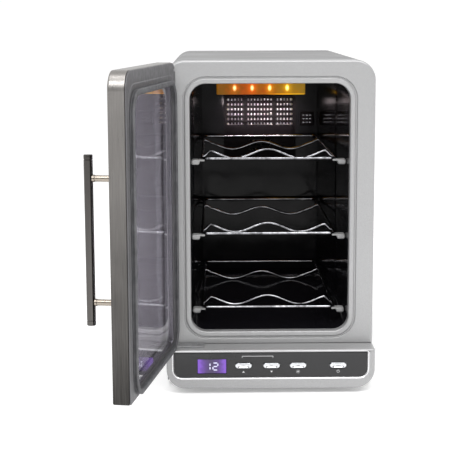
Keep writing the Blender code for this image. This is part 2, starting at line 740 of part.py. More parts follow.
def power_board():
    y = depth(DEPTH - 30.0 * MM)
    plate = box("power_board", -70.0 * MM, 40.0 * MM, y, y + 1.6 * MM, 30.0 * MM, 120.0 * MM)
    parts = [box("part", x - w, x + w, y + 1.0 * MM, y + h, z - w, z + w)
             for x, w, h, z in ((-40.0 * MM, 15.0 * MM, 20.0 * MM, 90.0 * MM),
                                (10.0 * MM, 10.0 * MM, 16.0 * MM, 60.0 * MM),
                                (-30.0 * MM, 8.0 * MM, 12.0 * MM, 50.0 * MM))]
    return join(plate, *parts)


def inlet_extent():
    return (62.0 * MM, 90.0 * MM, 40.0 * MM, 60.0 * MM)


def mains_inlet():
    x0, x1, z0, z1 = inlet_extent()
    back = depth(DEPTH - 1.0 * MM)
    body = prism("mains_inlet", rounded(x0, x1, z0, z1, 1.5 * MM, 2), along_y, back - 24.0 * MM, back)
    s = 2.5 * MM
    cut(body, box("socket", x0 + s, x1 - s, back - 15.0 * MM, back + 1.0 * MM, z0 + s, z1 - s))
    mid_x, mid_z = (x0 + x1) / 2.0, (z0 + z1) / 2.0
    blades = [box("pin", mid_x + dx - 1.0 * MM, mid_x + dx + 1.0 * MM, back - 17.0 * MM, back - 3.0 * MM,
                  mid_z + dz - 2.0 * MM, mid_z + dz + 2.0 * MM)
              for dx, dz in ((-7.0 * MM, -1.5 * MM), (0.0, 2.0 * MM), (7.0 * MM, -1.5 * MM))]
    return join(body, *blades)


# ---------------------------------------------------------------- shelves

def wave_path(d, z, centre, swing):
    """Wire rising and falling twice across the shelf, its ends turned onto the side rods."""
    count = 20
    points = [Vector((-SHELF_HALF, depth(d), z))]
    for i in range(1, count):
        t = i / count
        ease = min(1.0, min(t, 1.0 - t) * count / 1.6)
        offset = (centre + swing * math.cos(4.0 * math.pi * t)) * ease
        points.append(Vector((-SHELF_HALF + 2.0 * SHELF_HALF * t, depth(d), z + offset)))
    points.append(Vector((SHELF_HALF, depth(d), z)))
    return points


def shelf(name, z):
    r = 7.0 * MM
    plan = rounded(-SHELF_HALF, SHELF_HALF, depth(SHELF_FRONT_D), depth(SHELF_REAR_D), r, 4)
    body = tube(name, [Vector((px, py, z)) for px, py in plan], WIRE_R, 8, closed=True)
    front = tube("front_wave", wave_path(FRONT_WAVE_D, z, 3.0 * MM, 6.0 * MM), WAVE_R, 6)
    rear = tube("rear_wave", wave_path(REAR_WAVE_D, z, -8.0 * MM, 5.5 * MM), WAVE_R, 6)
    join(body, front, rear)
    return move_origin(body, (0.0, depth(SHELF_FRONT_D), z))


# ---------------------------------------------------------------- hinges

def hinge_bracket_bottom():
    z0 = PANEL_H + GAP
    z1 = z0 + ARM_T
    r = HINGE_INSET - 0.2 * MM
    arm = rounded(HINGE_X - r, HINGE_X + 46.0 * MM, HINGE_Y - r, FRONT_Y - 1.2 * MM,
                  (r, 3.0 * MM, 3.0 * MM, 1.0 * MM), 4)
    plate = prism("hinge_bracket_bottom", arm, along_z, z0, z1)
    return join(plate, drum_z("pin", HINGE_X, HINGE_Y, PIN_R, z1 - 0.5 * MM, z1 + PIN_L))


def arm_height():
    return DOOR_HIGH - 9.0 * MM


def hinge_bracket_top():
    z1 = arm_height()
    z0 = z1 - ARM_T
    r = HINGE_INSET - 0.2 * MM
    back = FRONT_Y - GAP
    arm = rounded(HINGE_X - r, HINGE_X + r, HINGE_Y - r, back, (r, r, 0.5 * MM, 0.5 * MM), 4)
    plate = prism("hinge_bracket_top", arm, along_z, z0, z1)
    flange = box("flange", HINGE_X - r, HINGE_X + 11.0 * MM, back - 1.6 * MM, back, z1 - 18.0 * MM, z1)
    pin = drum_z("pin", HINGE_X, HINGE_Y, PIN_R, z0 - PIN_L, z0 + 0.5 * MM)
    return join(plate, flange, pin)


def hinge_screw():
    """Low head of the screw that holds the bracket, under the closed door."""
    z0 = PANEL_H + GAP + ARM_T + 0.05 * MM
    x = HINGE_X + 39.7 * MM
    y = FRONT_Y - 7.5 * MM
    rings = [(3.0 * MM, 0.0), (3.0 * MM, 0.2 * MM), (2.4 * MM, 0.4 * MM)]
    return skin("hinge_screw", [along_z(circle(x, y, r, 14), z0 + h) for r, h in rings])


# ---------------------------------------------------------------- door

def door_plane(points, v):
    """Door outline in hinge coordinates: u along the door, v towards the outer face."""
    return [Vector((pu, -v, pz)) for pu, pz in points]


def seat_on_hinge(obj):
    obj.location = (HINGE_X, HINGE_Y, 0.0)
    obj.rotation_euler = (0.0, 0.0, -OPEN_ANGLE)
    return obj


def to_u(x):
    """Cabinet X to distance along the closed door."""
    return x - HINGE_X


def door_outline(inset):
    low_r = max(2.0 * MM - inset, 0.5 * MM)
    r = DOOR_R - inset
    return rounded(-HINGE_INSET + inset, DOOR_W - HINGE_INSET - inset, DOOR_LOW + inset,
                   DOOR_HIGH - inset, (low_r, low_r, r, r))


def window_outline(grow, r):
    return rounded(to_u(-WINDOW_HALF) - grow, to_u(WINDOW_HALF) + grow, WINDOW_LOW - grow,
                   WINDOW_HIGH + grow, r)


POCKET = 5.0 * MM           # how far the glass is let into the frame


def outer_v():
    return DOOR_T - HINGE_IN


def hinge_slot():
    """Slot that clears the top hinge arm through the door's whole swing."""
    top = arm_height() + 0.8 * MM
    return box("slot", -HINGE_INSET - 3.0 * MM, 8.5 * MM, -(outer_v() - 2.8 * MM),
               HINGE_IN + 3.0 * MM, top - ARM_T - 1.6 * MM, top)


def door_frame():
    back = -HINGE_IN + COVER_T + GAP
    front = outer_v()
    lip = front - 2.6 * MM
    edge = 1.6 * MM
    loops = [door_plane(door_outline(0.0), back), door_plane(door_outline(0.0), front - edge),
             door_plane(door_outline(edge * 0.3), front - edge * 0.3), door_plane(door_outline(edge), front),
             door_plane(window_outline(1.0 * MM, 16.0 * MM), front),
             door_plane(window_outline(0.0, 15.0 * MM), front - 1.0 * MM),
             door_plane(window_outline(0.0, 15.0 * MM), lip), door_plane(window_outline(POCKET, 6.0 * MM), lip),
             door_plane(window_outline(POCKET, 6.0 * MM), back)]
    frame = skin("door_frame", loops, ring=True)
    reach = PIN_L + 2.0 * MM
    low_bore = drum_z("bore", 0.0, 0.0, BUSH_R + 0.1 * MM, DOOR_LOW - 1.0 * MM, DOOR_LOW + reach)
    slot_low = arm_height() - ARM_T - 0.8 * MM
    high_bore = drum_z("bore", 0.0, 0.0, BUSH_R + 0.1 * MM, slot_low - reach, slot_low + 0.5 * MM)
    cut(frame, low_bore, high_bore, hinge_slot())
    return seat_on_hinge(frame)


def door_inner_frame():
    back = -HINGE_IN
    loops = [door_plane(door_outline(0.6 * MM), back + COVER_T), door_plane(door_outline(0.6 * MM), back),
             door_plane(window_outline(0.0, 15.0 * MM), back),
             door_plane(window_outline(0.0, 15.0 * MM), back + COVER_T)]
    frame = skin("door_inner_frame", loops, ring=True)
    return seat_on_hinge(cut(frame, hinge_slot()))


def pane(name, v0):
    outline = window_outline(POCKET - GAP, 5.5 * MM)
    return seat_on_hinge(skin(name, [door_plane(outline, v0), door_plane(outline, v0 + GLASS_T)]))


def outer_glass():
    return pane("outer_glass", outer_v() - 2.6 * MM - GAP - GLASS_T)


def inner_glass():
    return pane("inner_glass", -HINGE_IN + COVER_T + GAP)


def glass_spacer():
    low = -HINGE_IN + COVER_T + 2.0 * GAP + GLASS_T
    high = outer_v() - 2.6 * MM - 2.0 * GAP - GLASS_T
    outer = window_outline(POCKET - GAP, 5.5 * MM)
    inner = window_outline(0.2 * MM, 1.5 * MM)
    return seat_on_hinge(skin("glass_spacer", [door_plane(outer, low), door_plane(outer, high),
                                              door_plane(inner, high), door_plane(inner, low)], ring=True))


def seal_outline(grow):
    return rounded(to_u(-SEAL_HALF) - grow, to_u(SEAL_HALF) + grow, SEAL_LOW - grow, SEAL_HIGH + grow,
                   SEAL_R + grow)


def door_gasket():
    """Hollow-looking magnetic seal: a foot on the door and a rounded face to the cabinet."""
    foot_v = -HINGE_IN - GAP
    face_v = -(HINGE_IN + DOOR_GAP) + GAP
    h = SEAL_W / 2.0
    neck = h * 0.6
    mid = (foot_v + face_v) / 2.0
    loops = [door_plane(seal_outline(h), foot_v), door_plane(seal_outline(neck), mid),
             door_plane(seal_outline(h), face_v + 1.4 * MM), door_plane(seal_outline(h * 0.7), face_v),
             door_plane(seal_outline(-h * 0.7), face_v), door_plane(seal_outline(-h), face_v + 1.4 * MM),
             door_plane(seal_outline(-neck), mid), door_plane(seal_outline(-h), foot_v)]
    return seat_on_hinge(skin("door_gasket", loops, ring=True))


def handle_bar():
    e = 1.2 * MM
    rings = [(HANDLE_R - e, HANDLE_LOW), (HANDLE_R, HANDLE_LOW + e), (HANDLE_R, HANDLE_HIGH - e),
             (HANDLE_R - e, HANDLE_HIGH)]
    return seat_on_hinge(skin("handle_bar", [along_z(circle(HANDLE_U, -HANDLE_V, r, 24), z)
                                            for r, z in rings]))


def handle_post(name, z):
    """Post from the door's face, its end cupped around the bar."""
    start = -(outer_v() + GAP)
    end = -(HANDLE_V - HANDLE_R * 0.3)
    post = prism(name, circle(HANDLE_U, z, POST_R, 20), along_y, end, start)
    saddle = drum_z("saddle", HANDLE_U, -HANDLE_V, HANDLE_R + GAP, z - 10.0 * MM, z + 10.0 * MM, 24)
    return seat_on_hinge(cut(post, saddle))


def bush(name, z0, z1):
    outer = circle(0.0, 0.0, BUSH_R, 20)
    inner = circle(0.0, 0.0, PIN_R + RUN, 20)
    loops = [along_z(outer, z0), along_z(outer, z1), along_z(inner, z1), along_z(inner, z0)]
    return seat_on_hinge(skin(name, loops, ring=True))


# ---------------------------------------------------------------- assembly

def build():
    for old in list(bpy.data.objects):
        bpy.data.objects.remove(old, do_unlink=True)
    look = palette()
    dress(outer_wrap(), look["steel_sheet"])
    dress(base_pan(), look["steel_sheet"])
    dress(front_frame(), look["silver"])
    dress(liner(), look["black_gloss"])
    dress(insulation(), look["foam"])
    dress(rear_cover(), look["steel_sheet"])
    for name, x, d in (("foot_front_left", -1, 45.0 * MM), ("foot_front_right", 1, 45.0 * MM),
                       ("foot_rear_left", -1, DEPTH - 40.0 * MM), ("foot_rear_right", 1, DEPTH - 40.0 * MM)):
        dress(foot(name, x * (HALF_W - FOOT_INSET), depth(d)), look["rubber"])
    for level, z in zip(("lower", "middle", "upper"), SHELF_Z):
        for side, x in (("left", -1), ("right", 1)):
            dress(peg("shelf_peg_" + level + "_" + side, x, z), look["peg"])
    dress(control_housing(), look["silver"])
    dress(control_fascia(), look["fascia"])
    dress(display_window(), look["display"])
    dress(control_board(), look["board"])
    for name, x in zip(BUTTON_NAMES, BUTTON_X):
        dress(button(name, x), look["chrome"])
    dress(light_cover(), look["amber"])
    dress(light_board(), look["board"])
    for i in range(4):
        dress(led("led_" + str(i + 1), (i - 1.5) * LED_PITCH), look["led"])
    dress(air_grille(), look["black_matte"])
    dress(sensor_cover(), look["black_matte"])
    dress(cold_sink(), look["aluminium"])
    dress(peltier_module(), look["ceramic"])
    dress(hot_sink(), look["aluminium"])
    inner_d0 = CHAMBER_D + 3.0 * MM
    inner_d1 = inner_d0 + 10.0 * MM
    dress(fan_frame("inner_fan_frame", INNER_FAN, INNER_FAN_Z, inner_d0, inner_d1), look["black_matte"])
    dress(fan_rotor("inner_fan_rotor", INNER_FAN, INNER_FAN_Z, inner_d0, inner_d1), look["black_matte"])
    rear_d0 = FOAM_REAR_D + 25.0 * MM
    rear_d1 = rear_d0 + 15.0 * MM
    dress(fan_frame("rear_fan_frame", REAR_FAN, COOLER_Z, rear_d0, rear_d1), look["black_matte"])
    dress(fan_rotor("rear_fan_rotor", REAR_FAN, COOLER_Z, rear_d0, rear_d1), look["black_matte"])
    dress(fan_guard(), look["chrome"])
    dress(power_board(), look["board"])
    dress(mains_inlet(), look["black_matte"])
    for name, z in zip(SHELF_NAMES, SHELF_Z):
        dress(shelf(name, z), look["chrome"])
    dress(hinge_bracket_bottom(), look["hinge_steel"])
    dress(hinge_bracket_top(), look["hinge_steel"])
    dress(hinge_screw(), look["hinge_steel"])
    dress(door_frame(), look["door_steel"])
    dress(door_inner_frame(), look["door_grey"])
    dress(outer_glass(), look["glass"])
    dress(inner_glass(), look["glass"])
    dress(glass_spacer(), look["aluminium"])
    dress(door_gasket(), look["rubber"])
    dress(handle_bar(), look["dark_steel"])
    dress(handle_post("handle_post_upper", HANDLE_HIGH - POST_INSET), look["dark_steel"])
    dress(handle_post("handle_post_lower", HANDLE_LOW + POST_INSET), look["dark_steel"])
    dress(bush("hinge_bush_bottom", DOOR_LOW + GAP, DOOR_LOW + PIN_L + 1.5 * MM), look["bush"])
    slot_low = arm_height() - ARM_T - 0.8 * MM
    dress(bush("hinge_bush_top", slot_low - PIN_L - 1.5 * MM, slot_low - GAP), look["bush"])


build()
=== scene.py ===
import json
import math

import bmesh
import bpy
from mathutils import Matrix, Vector


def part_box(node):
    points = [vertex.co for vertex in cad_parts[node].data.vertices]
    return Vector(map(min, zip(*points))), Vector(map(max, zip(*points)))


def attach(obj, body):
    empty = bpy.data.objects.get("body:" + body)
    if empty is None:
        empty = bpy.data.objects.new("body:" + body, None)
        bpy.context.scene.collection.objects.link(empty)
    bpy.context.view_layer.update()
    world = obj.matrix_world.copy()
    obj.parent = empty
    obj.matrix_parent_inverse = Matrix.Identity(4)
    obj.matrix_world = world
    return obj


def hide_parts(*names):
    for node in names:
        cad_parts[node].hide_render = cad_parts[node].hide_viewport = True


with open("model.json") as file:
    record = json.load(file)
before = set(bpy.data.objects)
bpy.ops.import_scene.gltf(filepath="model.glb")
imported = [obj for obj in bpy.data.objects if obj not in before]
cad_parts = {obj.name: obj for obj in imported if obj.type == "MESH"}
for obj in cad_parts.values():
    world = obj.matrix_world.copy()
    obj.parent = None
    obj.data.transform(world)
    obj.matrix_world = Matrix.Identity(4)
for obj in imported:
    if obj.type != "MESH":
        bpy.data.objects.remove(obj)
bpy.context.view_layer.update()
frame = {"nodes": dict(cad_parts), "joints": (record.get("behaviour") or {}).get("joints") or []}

MM = 0.001


# ---------------------------------------------------------------- sizes taken from the frame

def placed(node):
    """Corners of a frame part's box, and its middle seen from the front."""
    low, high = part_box(node)
    return low, high, (low.x + high.x) / 2.0, (low.z + high.z) / 2.0


FRAME_LOW, FRAME_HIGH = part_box("front_frame")
FRONT_Y = FRAME_LOW.y
FRAME_T = FRAME_HIGH.y - FRAME_LOW.y
HALF_W = FRAME_HIGH.x
TOP_Z = FRAME_HIGH.z
PANEL_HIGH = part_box("control_housing")[1]
FASCIA_LOW, FASCIA_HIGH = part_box("control_fascia")
DISPLAY_LOW, DISPLAY_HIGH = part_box("display_window")
LIGHT_LOW, LIGHT_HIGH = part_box("light_cover")
GRILLE_LOW, GRILLE_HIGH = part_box("air_grille")
LAMPS = ["led_%d" % n for n in range(1, 5)]
HINGE = next(j for j in frame["joints"] if j["name"] == "door_hinge")
HINGE_AT = Vector((HINGE["pos_m"][0], HINGE["pos_m"][1], 0.0))
DOOR_OPEN = math.radians(HINGE["range_deg"][0])
SEAT = Matrix.Translation(HINGE_AT) @ Matrix.Rotation(DOOR_OPEN, 4, "Z")

# cabinet and chamber
SHELL_R = 26.0 * MM          # radius of the cabinet's and the frame's top corners
MOUTH_HALF = 102.0 * MM
MOUTH_LOW = 68.0 * MM
MOUTH_HIGH = 389.0 * MM
MOUTH_R = 20.0 * MM
LINER_T = 1.5 * MM
LINER_DRAFT = 2.5 * MM       # how much each chamber wall closes in at the rear
CHAMBER_D = GRILLE_HIGH.y + 0.3 * MM - FRONT_Y
REAR_FILLET = 9.0 * MM
STEP_D = 178.0 * MM          # depth of the shallow step in the chamber's walls
STEP_GROW = -0.9 * MM        # how far the walls close in at the step
PORT_INSET = 4.0 * MM        # grille's edge to the opening behind it
WIRE_R = 1.9 * MM
WAVE_R = 1.6 * MM

# control panel
PANEL_R = 25.0 * MM
FASCIA_R = 10.0 * MM
PANEL_FACE_D = FASCIA_LOW.y - FRONT_Y + 0.6 * MM

# door
DOOR_LOW, DOOR_HIGH = (corner.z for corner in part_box("door_frame"))
DOOR_GAP = 5.0 * MM          # closed door to the front frame, filled by the gasket
DOOR_T = 21.1 * MM
DOOR_EDGE_U = -HALF_W - HINGE_AT.x
DOOR_FAR_U = DOOR_EDGE_U + 2.0 * HALF_W
DOOR_IN_V = HINGE_AT.y - (FRONT_Y - DOOR_GAP)
DOOR_OUT_V = DOOR_IN_V + DOOR_T
DOOR_R = 22.0 * MM
WINDOW_HALF = 112.5 * MM
WINDOW_LOW = 64.5 * MM
WINDOW_HIGH = 388.5 * MM
SEAL_HALF = 117.0 * MM
SEAL_W = 6.0 * MM
SEAL_LOW = 59.5 * MM
SEAL_HIGH = 393.0 * MM
SEAL_R = 26.0 * MM


# ---------------------------------------------------------------- outlines

def rounded(x0, x1, z0, z1, radii, steps=12):
    """Closed outline of a rectangle; radii are (low left, low right, high right, high left)."""
    if not isinstance(radii, tuple):
        radii = (radii,) * 4
    corners = ((x0, z0, 1, 1, math.pi), (x1, z0, -1, 1, 1.5 * math.pi),
               (x1, z1, -1, -1, 0.0), (x0, z1, 1, -1, 0.5 * math.pi))
    points = []
    for (cx, cz, sx, sz, start), r in zip(corners, radii):
        for i in range(steps + 1):
            a = start + 0.5 * math.pi * i / steps
            points.append((cx + sx * r + r * math.cos(a), cz + sz * r + r * math.sin(a)))
    return points


def circle(cx, cz, r, count=48, start=math.pi):
    return [(cx + r * math.cos(start + 2.0 * math.pi * i / count),
             cz + r * math.sin(start + 2.0 * math.pi * i / count)) for i in range(count)]


def eased(points, steps=4, closed=True):
    """Profile with softened corners; a point is (a, b, how much of each side the round takes)."""
    out = []
    count = len(points)
    for i, (a, b, reach) in enumerate(points):
        if reach <= 0.0 or (not closed and i in (0, count - 1)):
            out.append((a, b))
            continue
        here = Vector((a, b))
        start = here + (Vector(points[i - 1][:2]) - here).normalized() * reach
        end = here + (Vector(points[(i + 1) % count][:2]) - here).normalized() * reach
        for k in range(steps + 1):
            t = k / steps
            spot = start * (1.0 - t) ** 2 + here * 2.0 * t * (1.0 - t) + end * t * t
            out.append((spot.x, spot.y))
    return out


def depth(d):
    return FRONT_Y + d


def upright(points, y):
    return [Vector((px, y, pz)) for px, pz in points]


def flat(points, z):
    return [Vector((px, py, z)) for px, py in points]


def on_door(points, v):
    return [Vector((pu, -v, pz)) for pu, pz in points]


# ---------------------------------------------------------------- meshes

def solid(name, bm, sharp=38.0):
    """Object from a bmesh: welded, outward normals, smooth with sharp edges kept."""
    bmesh.ops.remove_doubles(bm, verts=bm.verts, dist=1e-6)
    bmesh.ops.recalc_face_normals(bm, faces=bm.faces)
    mesh = bpy.data.meshes.new(name)
    bm.to_mesh(mesh)
    bm.free()
    mesh.polygons.foreach_set("use_smooth", [True] * len(mesh.polygons))
    mesh.set_sharp_from_angle(angle=math.radians(sharp))
    obj = bpy.data.objects.new(name, mesh)
    bpy.context.scene.collection.objects.link(obj)
    keep = obj.modifiers.new("normals", "WEIGHTED_NORMAL")
    keep.keep_sharp = True
    return obj


def bridge(bm, a, b):
    """Band of faces between two closed loops of equal length."""
    for i in range(len(a)):
        j = (i + 1) % len(a)
        bm.faces.new((a[i], a[j], b[j], b[i]))


def skin_rows(bm, loops, ring=False):
    rows = [[bm.verts.new(p) for p in loop] for loop in loops]
    pairs = list(zip(rows, rows[1:]))
    if ring:
        pairs.append((rows[-1], rows[0]))
    for a, b in pairs:
        bridge(bm, a, b)
    if not ring:
        bm.faces.new(rows[0])
        bm.faces.new(rows[-1])


def skin(name, loops, ring=False, sharp=38.0):
    """Solid skinned over loops of equal length; a ring joins the last loop to the first."""
    bm = bmesh.new()
    skin_rows(bm, loops, ring)
    return solid(name, bm, sharp)


def fill(bm, loops):
    """Flat face between an outline and its holes."""
    edges = []
    for verts in loops:
        for a, b in zip(verts, verts[1:] + verts[:1]):
            edges.append(bm.edges.get((a, b)) or bm.edges.new((a, b)))
    bmesh.ops.triangle_fill(bm, edges=edges, use_beauty=True, use_dissolve=False)


def plate(name, outline, low, high, holes, round_edge):
    """Upright plate with holes, its edges rounded."""
    bm = bmesh.new()
    loops = [outline] + holes
    for level in (low, high):
        fill(bm, [[bm.verts.new(p) for p in upright(loop, level)] for loop in loops])
    for loop in loops:
        a = [bm.verts.new(p) for p in upright(loop, low)]
        b = [bm.verts.new(p) for p in upright(loop, high)]
        bridge(bm, a, b)
    bmesh.ops.remove_doubles(bm, verts=bm.verts, dist=1e-6)
    return soften(solid(name, bm), round_edge)


def soften(obj, width):
    """Rounds every hard edge with a bevel placed ahead of the normals."""
    bevel = obj.modifiers.new("bevel", "BEVEL")
    bevel.width = width
    bevel.segments = 2
    bevel.limit_method = "ANGLE"
    bevel.angle_limit = math.radians(50.0)
    bevel.harden_normals = False
    obj.modifiers.move(len(obj.modifiers) - 1, 0)
    return obj


def wire_rows(bm, path, r, sides=14, closed=False):
    """Round wire along a path; open ends are domed."""
    count = len(path)
    rows = []
    normal = None
    for i, p in enumerate(path):
        before = path[i - 1] if closed or i > 0 else p
        after = path[(i + 1) % count] if closed or i < count - 1 else p
        t = (after - before).normalized()
        if normal is None:
            normal = t.orthogonal().normalized()
        normal = (normal - t * normal.dot(t)).normalized()
        side = t.cross(normal)
        rows.append((p, t, normal, side))

    def ring(p, normal, side, radius):
        return [bm.verts.new(p + radius * (math.cos(a) * normal + math.sin(a) * side))
                for a in (2.0 * math.pi * k / sides for k in range(sides))]

    loops = [ring(p, n, s, r) for p, t, n, s in rows]
    if not closed:
        for at, sign in ((0, -1.0), (-1, 1.0)):
            p, t, n, s = rows[at]
            caps = [ring(p + t * sign * r * share, n, s, r * width)
                    for share, width in ((0.35, 0.85), (0.6, 0.4))]
            loops = caps[::-1] + loops if at == 0 else loops + caps
    pairs = list(zip(loops, loops[1:]))
    if closed:
        pairs.append((loops[-1], loops[0]))
    for a, b in pairs:
        bridge(bm, a, b)
    if not closed:
        bm.faces.new(loops[0])
        bm.faces.new(loops[-1])


def turned(name, centre, axis, profile, count=40, sharp=38.0):
    """Round part: profile is (radius, distance along the axis) from one end to the other."""
    axis = Vector(axis).normalized()
    side = axis.orthogonal().normalized()
    other = axis.cross(side)
    loops = []
    for r, along in profile:
        spot = Vector(centre) + axis * along
        loops.append([spot + r * (math.cos(a) * side + math.sin(a) * other)
                      for a in (2.0 * math.pi * k / count for k in range(count))])
    return skin(name, loops, sharp=sharp)


def block(bm, low, high, ease):
    """Box with all twelve edges rounded."""
    low, high = Vector(low), Vector(high)
    made = bmesh.ops.create_cube(bm, size=1.0)["verts"]
    centre = (low + high) / 2.0
    size = high - low
    for v in made:
        v.co = Vector(centre[i] + v.co[i] * size[i] for i in range(3))
    edges = {e for v in made for e in v.link_edges}
    bmesh.ops.bevel(bm, geom=list(edges), offset=ease, segments=3, affect="EDGES", profile=0.5)


# ---------------------------------------------------------------- materials

class Finish:
    """A material with a Principled shader whose detail comes from textures fixed to the piece."""

    def __init__(self, name, roughness=0.5, metallic=0.0, **values):
        self.material = bpy.data.materials.new(name)
        self.material.use_nodes = True
        self.tree = self.material.node_tree
        self.shader = self.tree.nodes["Principled BSDF"]
        self.shader.inputs["Roughness"].default_value = roughness
        self.shader.inputs["Metallic"].default_value = metallic
        for key, value in values.items():
            self.shader.inputs[key.replace("_", " ")].default_value = value
        self.where = self.add("ShaderNodeTexCoord").outputs["Object"]

    def add(self, kind, **settings):
        node = self.tree.nodes.new(kind)
        for key, value in settings.items():
            setattr(node, key, value)
        return node

    def join(self, a, b):
        self.tree.links.new(a, b)

    def place(self, scale):
        node = self.add("ShaderNodeMapping")
        node.inputs["Scale"].default_value = scale
        self.join(self.where, node.inputs["Vector"])
        return node.outputs["Vector"]

    def noise(self, scale, detail=3.0, rough=0.5, stretch=(1.0, 1.0, 1.0)):
        node = self.add("ShaderNodeTexNoise")
        node.inputs["Scale"].default_value = scale
        node.inputs["Detail"].default_value = detail
        node.inputs["Roughness"].default_value = rough
        self.join(self.place(stretch), node.inputs["Vector"])
        return node.outputs["Fac"]

    def cells(self, scale):
        node = self.add("ShaderNodeTexVoronoi")
        node.inputs["Scale"].default_value = scale
        self.join(self.where, node.inputs["Vector"])
        return node.outputs["Distance"]

    def ramp(self, value, stops):
        node = self.add("ShaderNodeValToRGB")
        while len(node.color_ramp.elements) < len(stops):
            node.color_ramp.elements.new(0.5)
        for element, (at, colour) in zip(node.color_ramp.elements, stops):
            element.position = at
            element.color = (*colour, 1.0)
        self.join(value, node.inputs["Fac"])
        return node.outputs["Color"]

    def scaled(self, value, low, high, start=0.3, end=0.7):
        node = self.add("ShaderNodeMapRange")
        for key, number in (("From Min", start), ("From Max", end), ("To Min", low), ("To Max", high)):
            node.inputs[key].default_value = number
        self.join(value, node.inputs["Value"])
        return node.outputs["Result"]

    def maths(self, operation, a, b=None):
        node = self.add("ShaderNodeMath", operation=operation)
        for socket, value in zip(node.inputs, (a, b)):
            if isinstance(value, (int, float)):
                socket.default_value = value
            elif value is not None:
                self.join(value, socket)
        return node.outputs["Value"]

    def axis(self, letter):
        node = self.add("ShaderNodeSeparateXYZ")
        self.join(self.where, node.inputs["Vector"])
        return node.outputs[letter]

    def colour(self, source):
        self.join(source, self.shader.inputs["Base Color"])
        return self

    def rough(self, source):
        self.join(source, self.shader.inputs["Roughness"])
        return self

    def relief(self, *layers):
        """Bumps stacked on each other; a layer is (height, strength, distance)."""
        last = None
        for height, strength, distance in layers:
            node = self.add("ShaderNodeBump")
            node.inputs["Strength"].default_value = strength
            node.inputs["Distance"].default_value = distance
            self.join(height, node.inputs["Height"])
            if last:
                self.join(last, node.inputs["Normal"])
            last = node.outputs["Normal"]
        self.join(last, self.shader.inputs["Normal"])
        return self


def around(colour, spread):
    """A darker and a lighter neighbour of a colour, as the two stops of a ramp."""
    dark = tuple(c * (1.0 - spread) for c in colour)
    light = tuple(min(1.0, c * (1.0 + spread)) for c in colour)
    return ((0.3, dark), (0.7, light))


def paint(name, colour, rough, flake, metal=0.25):
    """Metallic lacquer: fine flake, faint orange peel and slow drift in tone."""
    f = Finish(name, metallic=metal, Coat_Weight=0.25, Coat_Roughness=0.18)
    f.colour(f.ramp(f.noise(2600.0, 2.0), around(colour, flake)))
    f.rough(f.scaled(f.noise(9.0, 4.0), rough - 0.05, rough + 0.07))
    return f.relief((f.noise(420.0, 2.0), 0.05, 0.3 * MM), (f.noise(2400.0, 1.0), 0.04, 0.1 * MM))


def grained(f, rough, stretch):
    """Gloss and height of brushed metal, its grain drawn out along one direction."""
    f.rough(f.scaled(f.noise(700.0, 3.0, 0.6, stretch), rough - 0.07, rough + 0.1))
    grain = f.noise(1500.0, 3.0, 0.6, stretch)
    return f.relief((grain, 0.10, 0.08 * MM), (f.noise(14.0, 2.0), 0.05, 1.0 * MM))


def brushed(name, colour, rough, stretch, spread=0.16):
    """Metal brushed along one direction, its grain also in its tone."""
    f = Finish(name, metallic=1.0)
    f.colour(f.ramp(f.noise(900.0, 4.0, 0.6, stretch), around(colour, spread)))
    return grained(f, rough, stretch)


def door_steel(name, colour, rough):
    """Brushed door sheet with painted reflection: its colour darkens towards its foot as painted shade and
    brightens near its top as a painted highlight.
    """
    f = Finish(name, metallic=1.0)
    grain = (1.0, 1.0, 0.03)
    # painted shade and highlight: height on the door sets the colour, from 0.17 of the base colour at the
    # foot to 1.25 of it at the top
    drift = f.maths("ADD", f.axis("Z"), f.scaled(f.noise(11.0, 3.0), -0.02, 0.02))
    share = f.scaled(drift, 0.0, 1.0, DOOR_LOW, DOOR_HIGH)
    tone = f.maths("ADD", share, f.scaled(f.noise(900.0, 4.0, 0.6, grain), -0.09, 0.09))
    f.colour(f.ramp(tone, [(at, tuple(c * level for c in colour))
                           for at, level in ((0.0, 0.17), (0.45, 0.58), (0.8, 1.0), (1.0, 1.25))]))
    return grained(f, rough, grain)


def polished(name, colour, rough, uneven=0.06):
    """Plated wire or trim: almost a mirror, with uneven plating and handling marks."""
    f = Finish(name, metallic=1.0)
    f.colour(f.ramp(f.noise(70.0, 5.0, 0.7), around(colour, uneven)))
    f.rough(f.scaled(f.noise(240.0, 5.0, 0.6), rough * 0.6, rough * 1.7))
    return f.relief((f.noise(120.0, 3.0), 0.06, 0.4 * MM))


def moulded(name, colour, rough, grain, height=0.12, **values):
    """Plastic with a spark-eroded texture."""
    f = Finish(name, **values)
    f.colour(f.ramp(f.noise(35.0, 4.0), around(colour, 0.12)))
    f.rough(f.scaled(f.noise(150.0, 4.0), rough - 0.06, rough + 0.08))
    return f.relief((f.noise(grain, 2.0), height, 0.15 * MM), (f.cells(grain * 0.6), height * 0.4, 0.1 * MM))


def gloss_black(name, colour, rough, level):
    """Glossy vacuum-formed sheet: soft waviness, wiped streaks and a little dust."""
    f = Finish(name, **{"Specular_IOR_Level": level})
    dust = f.noise(5200.0, 1.0)
    f.colour(f.ramp(dust, ((0.55, colour), (0.78, tuple(c * 2.2 + 0.01 for c in colour)))))
    f.rough(f.scaled(f.noise(22.0, 5.0, 0.65, (1.0, 0.3, 1.0)), rough * 0.6, rough * 1.6))
    return f.relief((f.noise(26.0, 2.0), 0.16, 1.4 * MM), (f.noise(300.0, 2.0), 0.03, 0.2 * MM))


def rubber(name, colour):
    f = Finish(name, Specular_IOR_Level=0.35)
    f.colour(f.ramp(f.noise(80.0, 5.0), around(colour, 0.3)))
    f.rough(f.scaled(f.noise(260.0, 4.0), 0.5, 0.75))
    return f.relief((f.noise(1800.0, 2.0), 0.12, 0.12 * MM))


